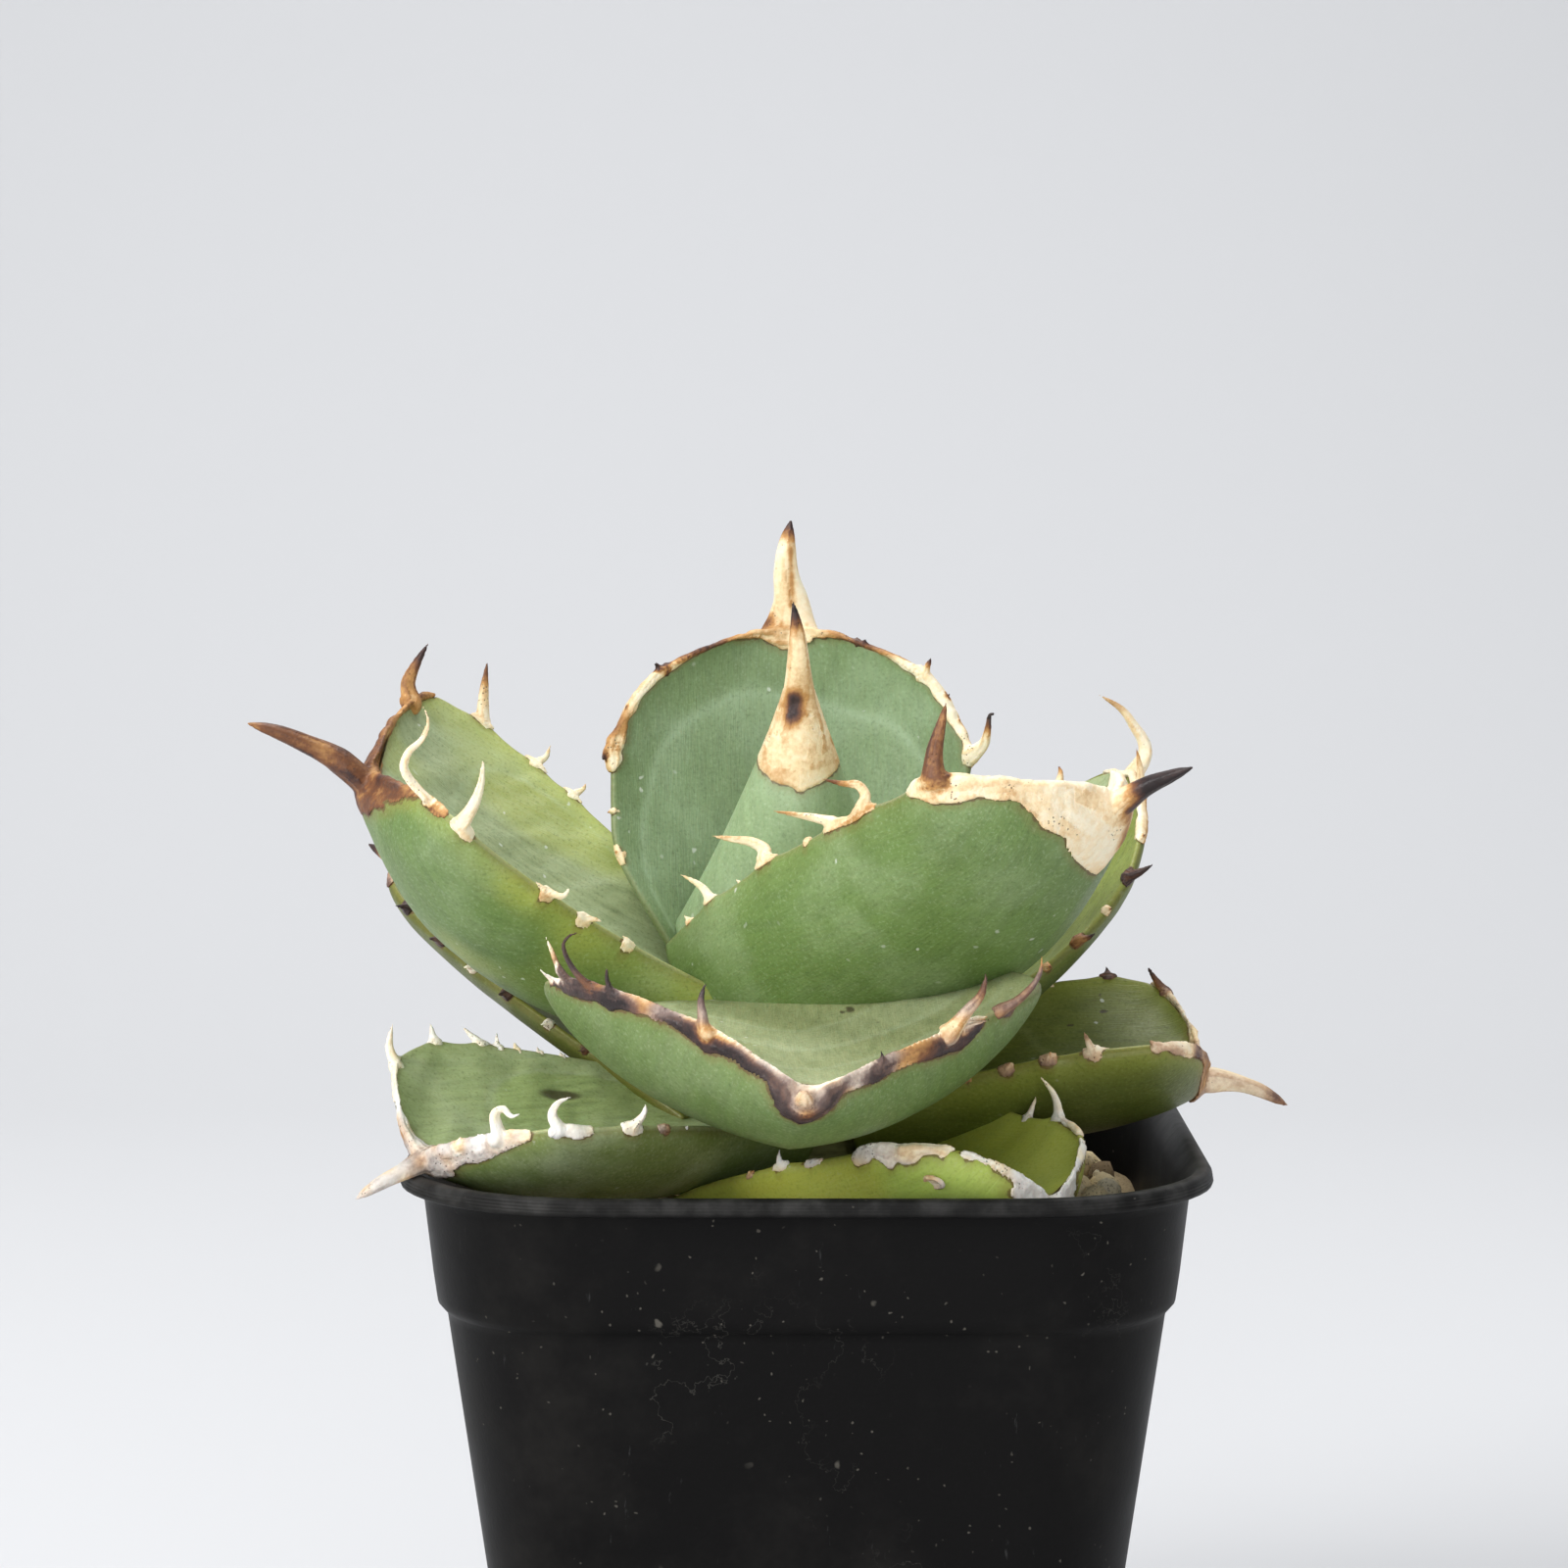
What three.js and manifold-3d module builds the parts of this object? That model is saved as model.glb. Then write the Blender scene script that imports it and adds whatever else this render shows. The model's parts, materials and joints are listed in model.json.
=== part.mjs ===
// Potted orca agave: a rosette of broad blunt leaves with horny toothed edges, in a square nursery pot.
// Millimetres. +Z is up, -Y is the front, and the origin is the middle of the pot's underside.

import * as THREE from 'three';
import { mergeVertices } from 'three/addons/utils/BufferGeometryUtils.js';
import Module from 'manifold-3d';

const wasm = await Module();
wasm.setup();

// Clear space between neighbouring pieces
const GAP = 0.3;
const CLEARANCE = 0.4;

// Pot
const POT_HEIGHT = 80;
const LIP_HALF = 45;
const LIP_DEPTH = 2;
const BAND_DEPTH = 15.5;
const BAND_HALF_TOP = 42.5;
const BAND_HALF_BOTTOM = 40.8;
const BODY_HALF_TOP = 39.8;
const BODY_HALF_BOTTOM = 31;
const WALL = 1.3;
const FLOOR = 2;
const POT_SIDES = 24;
const DRAIN_RADIUS = 3.5;
const DRAIN_OFFSET = 17;

// Soil
const SOIL_LEVEL = 72;
const GRAIN_SIZE = 2.9;
const GRAIN_SPACING = 8;
const GRAINS_FROM = 15;

// Plant
const AXIS = new THREE.Vector3(-1.5, 0.5, 0);
const STEM_FOOT = 52;
const MIDRIB_STEPS = 64;

// Horny edge of a leaf
const HORN_PROUD = 0.25;
const TOOTH_SUNK = 1.2;
const CAP_SPREAD = 0.55;

// What every leaf shares unless its own entry says otherwise. Angles are in degrees, places along a
// leaf run from 0 at its base to 1 at its tip, and left is the left edge seen from above the base.
const LEAF_DEFAULTS = {
  turn: 0,
  tipHalfWidth: 1.8,
  shoulder: 0.7,
  shoulderPower: 2.8,
  shoulderRound: 0.6,
  baseThickness: 6,
  bodyThickness: 7,
  tipThickness: 2.2,
  edgeThickness: 0.8,
  keel: 0.3,
  hornStart: 0.7,
  bandWidth: 1.3,
  capAbove: 2.5,
  capBelow: 6,
  capCorner: 2.5,
  spineWidth: 3.4,
  spine: [9, 0, -1],
  teeth: [],
};

// A tooth: which edge, where along it, how far its point reaches along the leaf, out from the edge and
// up from the leaf's face, how wide its foot is, and how far its middle bows towards the leaf's tip.
const onLeft = (at, along, out, up, width, bow = 0) => ({ side: 1, at, reach: [along, out, up], width, bow });
const onRight = (at, along, out, up, width, bow = 0) => ({ side: -1, at, reach: [along, out, up], width, bow });

// Youngest leaf first
const LEAVES = [
  {
    name: '01_centre', azimuth: -84, baseRadius: 0.5, baseHeight: 92.5, length: 39.5,
    lift: [77, 86], roll: [-1, -2], halfWidth: [11, 16.5], tipHalfWidth: 1.6,
    shoulder: 0.25, shoulderPower: 1, shoulderRound: 0.95, cup: [76, 74],
    baseThickness: 4, bodyThickness: 4, tipThickness: 1.6, keel: 0.2,
    hornStart: 0.74, capAbove: 3, capBelow: 12, capCorner: 9, spine: [10.5, -0.8, 0], spineWidth: 3.8,
    colour: 0x8fb88f,
  },
  {
    name: '02_back', azimuth: 91, baseRadius: 4, baseHeight: 92.5, length: 47,
    lift: [59, 90], roll: [-2, -2], halfWidth: [13, 22], shoulder: 0.48, shoulderPower: 3.7,
    shoulderRound: 0.68, cup: [46, 26], baseThickness: 6, bodyThickness: 6, hornStart: 0.6,
    bandWidth: 1.5, spine: [13, 0, 0.5], spineWidth: 5, colour: 0x6f9a78,
    teeth: [
      onLeft(0.9, 0.8, 1.6, 0.6, 2), onLeft(0.66, 0, 1.5, 0.4, 2), onLeft(0.52, -0.8, 1.2, 0.3, 1.6),
      onRight(0.95, 1, 1.4, 0.6, 2), onRight(0.86, 2, 2, 0.8, 2.2), onRight(0.66, 4.4, 4.2, 1, 3, -1),
    ],
  },
  {
    name: '03_right_front', azimuth: -46, baseRadius: 3.5, baseHeight: 92, length: 54.5,
    lift: [42, 26], turn: 3, roll: [-10, 10], halfWidth: [21, 19.5], shoulder: 0.75,
    shoulderPower: 2.9, shoulderRound: 0.57, cup: [72, 47], baseThickness: 6.5, bodyThickness: 10.5,
    hornStart: 0.52, bandWidth: 1.6, capAbove: 4, capBelow: 12, capCorner: 4, spine: [9.5, 1.4, 0],
    spineWidth: 4.6, colour: 0x6c9653,
    teeth: [
      onRight(0.83, 4.4, 3.8, 6.5, 4, -1), onRight(0.63, -1.4, 3.9, 0.6, 3, 1.2),
      onRight(0.56, -4.6, 4.4, -0.6, 2.2), onRight(0.37, -4, 5, -0.4, 3, 0.8),
      onRight(0.22, -2.8, 3.4, -0.6, 2), onRight(0.1, -0.8, 1.4, 0, 1.4),
      onLeft(0.86, 2, 3.4, 2.4, 3, 1), onLeft(0.7, 0.6, 3.4, 2, 2.6, 1), onLeft(0.55, -0.6, 3, 1.6, 2.2, 0.8),
    ],
  },
  {
    name: '04_left', azimuth: 180, baseRadius: 4.5, baseHeight: 93, length: 53,
    lift: [25, 42], turn: 22, roll: [-10, -19], halfWidth: [12, 24], shoulder: 0.86,
    shoulderPower: 2.7, shoulderRound: 0.54, cup: [51, 34], baseThickness: 7, bodyThickness: 10,
    keel: 0.25, hornStart: 0.74, bandWidth: 1.2, capBelow: 5, capAbove: 3, spine: [14.3, 0.5, -4.2],
    spineWidth: 4.2, colour: 0x7a9c5d,
    teeth: [
      onRight(0.96, 2.3, 5, 3.2, 3.4, -0.8), onRight(0.8, 4, 5.8, 2.8, 2.8, 0.6),
      onRight(0.66, -0.3, 2.2, 1.5, 2, 0.6), onRight(0.56, -0.5, 2.2, 1.5, 2, 0.6),
      onRight(0.4, -0.4, 1.6, 0.8, 1.6, 0.4),
      onLeft(0.96, 7.6, 3.8, 6.8, 2.8, -1.4), onLeft(0.87, 4.2, 4, 5.7, 3.4, 1),
      onLeft(0.58, 1.8, 1.4, 0.4, 2, 0.4), onLeft(0.48, 1.8, 1.4, 0.4, 2, 0.4), onLeft(0.34, 1.6, 1.2, 0.4, 1.8),
    ],
  },
  {
    name: '05_right_back', azimuth: 33, baseRadius: 5.5, baseHeight: 85.5, length: 57,
    lift: [16, 62], turn: -4, roll: [3, -1], halfWidth: [12, 18], shoulder: 0.6,
    shoulderPower: 2, shoulderRound: 0.8, cup: [42, 12], bodyThickness: 6, hornStart: 0.66,
    spine: [6.6, 4.2, 7], colour: 0x7d9a4a,
    teeth: [
      onRight(0.93, 4.8, 2.8, 3, 2.6), onRight(0.84, 1, 1.8, 0.6, 2), onRight(0.75, 1.6, 2.2, 0.2, 2),
      onRight(0.57, 0.4, 2, -0.6, 1.8), onRight(0.44, 0.2, 1.6, -0.6, 1.8),
      onLeft(0.88, 2.4, 3, 1.6, 2.6, 0.8), onLeft(0.72, 0.6, 2.8, 1.2, 2.4, 0.8), onLeft(0.55, -0.4, 2.4, 1, 2),
    ],
  },
  {
    name: '06_front', azimuth: -91, baseRadius: 5, baseHeight: 98.5, length: 50.5,
    lift: [-6, -5.5], turn: 6.5, roll: [10, -9], halfWidth: [17, 27.5], tipHalfWidth: 1.9,
    shoulder: 0.55, shoulderPower: 1.65, shoulderRound: 1, cup: [1.5, 46], baseThickness: 9,
    bodyThickness: 11, keel: 0.45, hornStart: 0.57, bandWidth: 1.6, capBelow: 4, capCorner: 2,
    spine: [2.6, -0.4, 1.4], colour: 0x6e9559,
    teeth: [
      onRight(0.87, 0, 3.8, 3.4, 2.6, -0.6), onRight(0.7, 0, 3, 1.8, 2.2),
      onRight(0.66, 0.4, 4.8, 3.8, 2.8, 1.4), onRight(0.6, -0.4, 4.6, 2, 2.2),
      onLeft(0.93, 0, 1.4, 1.2, 1.6), onLeft(0.76, 0.4, 5.4, 3.4, 3.4, 0.8), onLeft(0.64, 0.3, 5.8, 2.4, 3.2, 1.2),
    ],
  },
  {
    name: '07_left_back', azimuth: 145, baseRadius: 6.5, baseHeight: 82.5, length: 55,
    lift: [25, 29], roll: [-10, -2], halfWidth: [12.5, 16.5], shoulder: 0.68, shoulderPower: 2.9,
    cup: [20, 29], baseThickness: 6, bodyThickness: 4.5, keel: 0.35, hornStart: 0.72,
    colour: 0x76924f,
    teeth: [
      onLeft(0.8, 0.5, 1.5, -0.6, 2), onLeft(0.68, 0.5, 1.6, -0.8, 2), onLeft(0.58, 0.4, 1.5, -0.8, 1.8),
      onLeft(0.48, 0.3, 1.4, -0.8, 1.8), onLeft(0.37, 0.3, 1.3, -0.6, 1.6),
      onRight(0.86, 1.4, 2.8, 1.6, 2.4, 0.8), onRight(0.77, 0.4, 2.6, 1.2, 2.2, 0.8), onRight(0.56, -0.4, 2, 1, 2),
    ],
  },
  {
    name: '08_right', azimuth: 2, baseRadius: 6, baseHeight: 83, length: 42,
    lift: [13, -2], turn: -2, roll: [9, 3], halfWidth: [12, 20], tipHalfWidth: 1.7, shoulder: 0.76,
    shoulderPower: 3.5, cup: [37, 42], baseThickness: 7, bodyThickness: 7, hornStart: 0.63,
    bandWidth: 1.2, capBelow: 5, spine: [10.4, -0.4, -2.9], colour: 0x6b8c43,
    teeth: [
      onLeft(0.96, 1.4, 1.4, 0.8, 2), onLeft(0.87, 0, 2.3, 1.6, 2.2), onLeft(0.76, 1, 1.7, 1.1, 2),
      onLeft(0.58, 0, 1.6, 0.8, 1.8), onRight(0.67, -1, 2, 1.7, 2.2), onRight(0.83, 0.3, 1.4, 1.1, 1.8),
      onRight(0.5, -0.4, 1.8, 1, 1.8),
    ],
  },
  {
    name: '09_left_front', azimuth: 217, baseRadius: 6, baseHeight: 81, length: 44.5,
    lift: [5, -1], turn: -1, roll: [-8, -8], halfWidth: [12.5, 19], shoulder: 0.71,
    shoulderPower: 2.7, shoulderRound: 0.74, cup: [29, 46], baseThickness: 6, bodyThickness: 7,
    tipThickness: 1.2, hornStart: 0.46, capBelow: 4, spine: [8, 0, -2.4], colour: 0x6d9147,
    teeth: [
      onRight(0.87, 0.2, 3.4, 2.2, 2.2), onRight(0.77, -0.8, 2.2, 1.9, 2), onRight(0.67, 0.4, 2.3, 1.4, 2),
      onRight(0.58, -0.4, 1.8, 1.4, 1.8), onRight(0.5, -0.6, 1.5, 1.4, 1.8),
      onLeft(0.96, 0, 1.5, 1.4, 1.8), onLeft(0.9, -2, 3.4, 2, 3, 1.2), onLeft(0.78, -0.5, 3, 3, 3.2, 1.2),
      onLeft(0.6, -1.2, 2.6, 1.8, 2.6, 0.8), onLeft(0.42, -0.6, 1.4, 0.9, 1.6),
    ],
  },
  {
    name: '10_back_low', azimuth: 80, baseRadius: 6.5, baseHeight: 80, length: 42,
    lift: [14, 4], roll: [0, 0], halfWidth: [12, 18], shoulderPower: 3, cup: [30, 35],
    baseThickness: 6, bodyThickness: 6, hornStart: 0.62, spine: [8, 0, 0.6], colour: 0x7c9a4c,
    teeth: [
      onLeft(0.86, 0.6, 2.6, 1.6, 2.4, 0.8), onLeft(0.7, -0.4, 2.6, 1.4, 2.2, 0.8), onLeft(0.54, -0.4, 1.8, 1, 1.8),
      onRight(0.88, 0.6, 2.6, 1.6, 2.4, 0.8), onRight(0.72, -0.4, 2.6, 1.4, 2.2, 0.8), onRight(0.52, -0.4, 1.8, 1, 1.8),
    ],
  },
  {
    name: '11_front_low', azimuth: -60, baseRadius: 6, baseHeight: 74.5, length: 41,
    lift: [7, 5], turn: 19, roll: [16, -6], halfWidth: [20.5, 15.5], shoulder: 0.67,
    shoulderPower: 2.9, shoulderRound: 0.68, cup: [31, 62], baseThickness: 6, bodyThickness: 6,
    hornStart: 0.57, capBelow: 4, spine: [2.6, 0, 1.6], colour: 0xa3ab4c,
    teeth: [
      onRight(0.42, 0.2, 1.6, 1.5, 1.8), onRight(0.52, 0.2, 1.2, 1.1, 1.6),
      onLeft(0.75, -1.2, 3.6, 4, 2.6), onLeft(0.62, 0.7, 2.6, 1, 2),
    ],
  },
];

const radians = THREE.MathUtils.degToRad;
const lerp = THREE.MathUtils.lerp;
const clamp = THREE.MathUtils.clamp;
const smooth = (x) => THREE.MathUtils.smoothstep(x, 0, 1);

// Repeatable random numbers between 0 and 1
function seededRandom(seed) {
  let state = seed;
  return () => {
    state = (state * 1664525 + 1013904223) % 4294967296;
    return state / 4294967296;
  };
}

// A closed solid with only shared positions left, ready to join and cut
function toSolid(geometry) {
  const bare = geometry.clone();
  bare.deleteAttribute('normal');
  bare.deleteAttribute('uv');
  const merged = mergeVertices(bare, 1e-4);
  return new wasm.Manifold(
    new wasm.Mesh({
      numProp: 3,
      vertProperties: new Float32Array(merged.attributes.position.array),
      triVerts: new Uint32Array(merged.index.array),
    }),
  );
}

function largestBody(solid) {
  return solid.decompose().sort((a, b) => b.volume() - a.volume())[0];
}

// The outer skin of a solid's largest body, as a three.js geometry
function toGeometry(solid) {
  const { vertProperties, triVerts } = largestBody(solid).getMesh();
  const whole = new wasm.Mesh({ numProp: 3, vertProperties, triVerts });
  whole.merge();
  const skin = largestBody(new wasm.Manifold(whole)).getMesh();
  const geometry = new THREE.BufferGeometry();
  geometry.setAttribute('position', new THREE.BufferAttribute(new Float32Array(skin.vertProperties), 3));
  geometry.setIndex([...skin.triVerts]);
  geometry.computeVertexNormals();
  return geometry;
}

// The same closed geometry pushed outwards by a distance
function grown(geometry, distance) {
  const bare = geometry.clone();
  bare.deleteAttribute('normal');
  bare.deleteAttribute('uv');
  const swollen = mergeVertices(bare, 1e-4);
  swollen.computeVertexNormals();
  const position = swollen.attributes.position;
  const normal = swollen.attributes.normal;
  for (let i = 0; i < position.count; i += 1) {
    position.setXYZ(
      i,
      position.getX(i) + normal.getX(i) * distance,
      position.getY(i) + normal.getY(i) * distance,
      position.getZ(i) + normal.getZ(i) * distance,
    );
  }
  return swollen;
}

function bendVertices(geometry, place) {
  const position = geometry.attributes.position;
  const vertex = new THREE.Vector3();
  for (let i = 0; i < position.count; i += 1) {
    vertex.fromBufferAttribute(position, i);
    const moved = place(vertex);
    position.setXYZ(i, moved.x, moved.y, moved.z);
  }
  return geometry;
}

// A leaf's shape: a bent midrib that carries a cupped blade with a keeled underside
class AgaveLeaf {
  constructor(entry) {
    Object.assign(this, LEAF_DEFAULTS, entry);
    this.midrib = this.walkMidrib();
  }

  liftAt(t) {
    return radians(lerp(this.lift[0], this.lift[1], t));
  }

  headingAt(t) {
    return radians(this.azimuth + this.turn * t ** 1.5);
  }

  directionAt(t) {
    const lift = this.liftAt(t);
    const heading = this.headingAt(t);
    return new THREE.Vector3(
      Math.cos(lift) * Math.cos(heading),
      Math.cos(lift) * Math.sin(heading),
      Math.sin(lift),
    );
  }

  walkMidrib() {
    const heading = radians(this.azimuth);
    const start = new THREE.Vector3(
      AXIS.x + this.baseRadius * Math.cos(heading),
      AXIS.y + this.baseRadius * Math.sin(heading),
      this.baseHeight,
    );
    const points = [start];
    for (let i = 0; i < MIDRIB_STEPS; i += 1) {
      const step = this.directionAt((i + 0.5) / MIDRIB_STEPS).multiplyScalar(this.length / MIDRIB_STEPS);
      points.push(points[i].clone().add(step));
    }
    return points;
  }

  // Point on the midrib with the leaf's own directions: along, towards the left edge, and up
  frameAt(t) {
    const place = clamp(t, 0, 1) * MIDRIB_STEPS;
    const index = Math.min(Math.floor(place), MIDRIB_STEPS - 1);
    const centre = this.midrib[index].clone().lerp(this.midrib[index + 1], place - index);
    const along = this.directionAt(t);
    const heading = this.headingAt(t);
    const level = new THREE.Vector3(-Math.sin(heading), Math.cos(heading), 0);
    const raised = new THREE.Vector3().crossVectors(along, level);
    const roll = radians(lerp(this.roll[0], this.roll[1], t));
    const left = level.clone().multiplyScalar(Math.cos(roll)).addScaledVector(raised, Math.sin(roll));
    const up = raised.clone().multiplyScalar(Math.cos(roll)).addScaledVector(level, -Math.sin(roll));
    return { centre, along, left, up };
  }

  halfWidthAt(t) {
    const [base, widest] = this.halfWidth;
    if (t < this.shoulder) {
      return lerp(base, widest, smooth(t / this.shoulder));
    }
    const beyond = (t - this.shoulder) / (1 - this.shoulder);
    const round = Math.max(0, 1 - beyond ** this.shoulderPower) ** this.shoulderRound;
    return lerp(this.tipHalfWidth, widest, round);
  }

  thicknessAt(t) {
    if (t < 0.5) {
      return lerp(this.baseThickness, this.bodyThickness, smooth(t / 0.5));
    }
    const taper = clamp(1 - ((t - 0.5) / 0.5) ** 2.2, 0, 1);
    return lerp(this.tipThickness, this.bodyThickness, taper);
  }

  // The edge swells a little where a wide tooth stands
  swellingAt(t, side) {
    let swelling = 0;
    for (const tooth of this.teeth) {
      if (tooth.side === side && tooth.width >= 2) {
        const away = ((t - tooth.at) * this.length) / (tooth.width * 0.9);
        swelling += 0.35 * tooth.width * Math.exp(-away * away);
      }
    }
    return swelling;
  }

  cupAt(t) {
    return radians(lerp(this.cup[0], this.cup[1], t));
  }

  // across: -1 right edge to 1 left edge. below: 0 upper face to 1 lower face. proud: outwards lift.
  surfacePoint(t, across, below, proud = 0) {
    const { centre, left, up } = this.frameAt(t);
    const swelling = this.swellingAt(t, Math.sign(across)) * Math.abs(across) ** 5;
    const halfWidth = this.halfWidthAt(t);
    const cup = this.cupAt(t);
    const turned = across * (1 + swelling / halfWidth) * cup;
    const nearEdge = Math.min(Math.abs(across), 1);
    const body = (1 - this.keel) * Math.max(0, 1 - nearEdge ** 2.4) ** 0.75 + this.keel * (1 - nearEdge);
    const thickness = this.edgeThickness + this.thicknessAt(t) * body;
    const sink = below * thickness + proud * (2 * below - 1);
    const sideways = (halfWidth * Math.sin(turned)) / cup + sink * Math.sin(turned);
    const upwards = (halfWidth * (1 - Math.cos(turned))) / cup - sink * Math.cos(turned);
    return centre.clone().addScaledVector(left, sideways).addScaledVector(up, upwards);
  }

  // Where the green part ends, seen across the leaf: a cap of horn with a point down the keel
  hornEdgeAt(across, below) {
    const shape = Math.max(0, 1 - Math.abs(across) / CAP_SPREAD) ** 0.8;
    const corner = this.capCorner / this.length;
    const middle = (below ? this.capBelow : this.capAbove) / this.length;
    return 1 - lerp(corner, middle, shape);
  }

  // Share of the half width that stays green beside the horny band
  greenShareAt(t) {
    return 1 - this.bandWidth / Math.max(this.halfWidthAt(t), 2 * this.bandWidth);
  }
}

// The green blade: a bent block, stepped in where the horny band begins
const BLADE_COLUMNS = [-1, -0.66, -0.3, 0, 0.3, 0.66, 1];

function bladeRows(leaf) {
  const start = leaf.hornStart;
  const end = leaf.hornEdgeAt(1, 0);
  const step = 0.012;
  const lower = [0, 0.12, 0.24, 0.38, 0.52, 0.64].filter((t) => t < start - 0.05);
  const upper = [0.3, 0.6, 0.82, 1].map((share) => lerp(start, end, share));
  return [...lower, start - step, start, ...upper];
}

function bladeGeometry(leaf) {
  const rows = bladeRows(leaf);
  const columns = BLADE_COLUMNS;
  const block = new THREE.BoxGeometry(1, 1, 1, columns.length - 1, rows.length - 1, 1);
  return bendVertices(block, (vertex) => {
    const column = columns[Math.round((0.5 - vertex.x) * (columns.length - 1))];
    const row = rows[Math.round((vertex.y + 0.5) * (rows.length - 1))];
    const below = vertex.z < 0 ? 1 : 0;
    const end = leaf.hornEdgeAt(column, below) / leaf.hornEdgeAt(1, below);
    const reach = lerp(1, end, smooth((row - 0.3) / (rows[rows.length - 1] - 0.3)));
    const share = row >= leaf.hornStart ? leaf.greenShareAt(row) : 1;
    return leaf.surfacePoint(row * reach, column * share, below);
  });
}

// The horny strip round the leaf's end: up one edge, round the cap and down the other edge
function hornStations(leaf) {
  const corner = leaf.hornEdgeAt(1, 0);
  const sideways = [0, 0.3, 0.6, 0.82].map((share) => lerp(leaf.hornStart, corner, share));
  const right = sideways.map((t) => ({ inner: t, outer: t, across: -1, side: -1, onCap: false }));
  const left = sideways.map((t) => ({ inner: t, outer: t, across: 1, side: 1, onCap: false })).reverse();
  const cap = BLADE_COLUMNS.map((across) => ({
    inner: null,
    outer: 1 - Math.abs(across) * (1 - corner),
    across,
    side: Math.sign(across),
    onCap: true,
  }));
  return [...right, ...cap, ...left];
}

function hornGeometry(leaf) {
  const stations = hornStations(leaf);
  const strip = new THREE.BoxGeometry(1, 1, 1, 2, stations.length - 1, 1);
  const corner = leaf.hornEdgeAt(1, 0);
  return bendVertices(strip, (vertex) => {
    const station = stations[Math.round((vertex.y + 0.5) * (stations.length - 1))];
    const below = vertex.z < 0 ? 1 : 0;
    const outwards = 0.5 + vertex.x;
    const gapAlong = (GAP * (below ? 2 : 1)) / leaf.length;
    const innerT = (station.onCap ? leaf.hornEdgeAt(station.across, below) : station.inner) + gapAlong;
    const innerRow = station.onCap ? corner : station.inner;
    const share = leaf.greenShareAt(innerRow) + GAP / leaf.halfWidthAt(innerRow);
    const innerAcross = station.across * share;
    const edge = station.side * (1 + 0.4 / leaf.halfWidthAt(station.outer));
    const outerAcross = station.across === 0 ? 0 : edge;
    const outerT = station.onCap ? station.outer : station.outer + gapAlong;
    const t = lerp(innerT, outerT, outwards);
    return leaf.surfacePoint(t, lerp(innerAcross, outerAcross, outwards), below, HORN_PROUD);
  });
}

// A tooth or spine: a cone bent along a curve from a foot sunk in the edge to its point
function thornGeometry(foot, middle, point, sunk, width, flatDirection, sides, steps) {
  const curve = new THREE.CatmullRomCurve3([sunk, foot, middle, point], false, 'centripetal');
  const cone = new THREE.ConeGeometry(1, 1, sides, steps, false);
  return bendVertices(cone, (vertex) => {
    const t = vertex.y + 0.5;
    const centre = curve.getPoint(t);
    const tangent = curve.getTangent(t);
    const broad = flatDirection.clone().addScaledVector(tangent, -flatDirection.dot(tangent)).normalize();
    const narrow = new THREE.Vector3().crossVectors(broad, tangent);
    const taper = Math.max(1 - t, 0.01) ** -0.25;
    return centre
      .addScaledVector(broad, vertex.x * width * 0.5 * taper)
      .addScaledVector(narrow, vertex.z * width * 0.36 * taper);
  });
}

function standsOnBand(leaf, tooth) {
  return tooth.at > leaf.hornStart;
}

function toothGeometry(leaf, tooth, swell = 0) {
  const frame = leaf.frameAt(tooth.at);
  const turned = leaf.cupAt(tooth.at) * tooth.side;
  const out = frame.left.clone().multiplyScalar(Math.cos(turned)).addScaledVector(frame.up, Math.sin(turned));
  out.multiplyScalar(tooth.side);
  const up = frame.up.clone().multiplyScalar(Math.cos(turned)).addScaledVector(frame.left, -Math.sin(turned));
  const foot = leaf.surfacePoint(tooth.at, tooth.side, 0.5);
  const [along, outwards, upwards] = tooth.reach;
  const reach = frame.along.clone().multiplyScalar(along);
  reach.addScaledVector(out, outwards).addScaledVector(up, upwards);
  const middle = foot.clone().addScaledVector(reach, 0.5).addScaledVector(frame.along, tooth.bow);
  middle.addScaledVector(out, 0.12 * tooth.width);
  const depth = standsOnBand(leaf, tooth) ? Math.min(TOOTH_SUNK, leaf.bandWidth - GAP) : TOOTH_SUNK;
  const sunk = foot.clone().addScaledVector(out, -depth);
  const point = foot.clone().add(reach);
  const [sides, steps] = tooth.width > 2.5 ? [5, 3] : [4, 2];
  return thornGeometry(foot, middle, point, sunk, tooth.width + swell, frame.along, sides, steps);
}

function spineGeometry(leaf) {
  const frame = leaf.frameAt(1);
  const foot = leaf.surfacePoint(0.985, 0, 0.5);
  const [along, leftwards, upwards] = leaf.spine;
  const reach = frame.along.clone().multiplyScalar(along);
  reach.addScaledVector(frame.left, leftwards).addScaledVector(frame.up, upwards);
  const middle = foot.clone().addScaledVector(frame.along, along * 0.5);
  middle.addScaledVector(reach, 0.08);
  const sunk = foot.clone().addScaledVector(frame.along, -TOOTH_SUNK);
  const point = foot.clone().add(reach);
  return thornGeometry(foot, middle, point, sunk, leaf.spineWidth, frame.left, 6, 4);
}

// Square section with round corners: a turned profile whose circles are pushed out to the square
function squareTurned(profile) {
  const lathe = new THREE.LatheGeometry(
    profile.map(([half, height]) => new THREE.Vector2(half, height)),
    POT_SIDES,
  );
  const quarter = POT_SIDES / 4;
  const position = lathe.attributes.position;
  for (let i = 0; i < position.count; i += 1) {
    const [half, height, corner] = profile[i % profile.length];
    const side = Math.floor(i / profile.length) % POT_SIDES;
    const quadrant = Math.floor(side / quarter);
    const turn = (quadrant + (side % quarter) / (quarter - 1)) * (Math.PI / 2);
    const centreTurn = (quadrant + 0.5) * (Math.PI / 2);
    const inset = (half - corner) * Math.SQRT2;
    position.setXYZ(
      i,
      half === 0 ? 0 : inset * Math.cos(centreTurn) + corner * Math.cos(turn),
      half === 0 ? 0 : inset * Math.sin(centreTurn) + corner * Math.sin(turn),
      height,
    );
  }
  return lathe;
}

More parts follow.
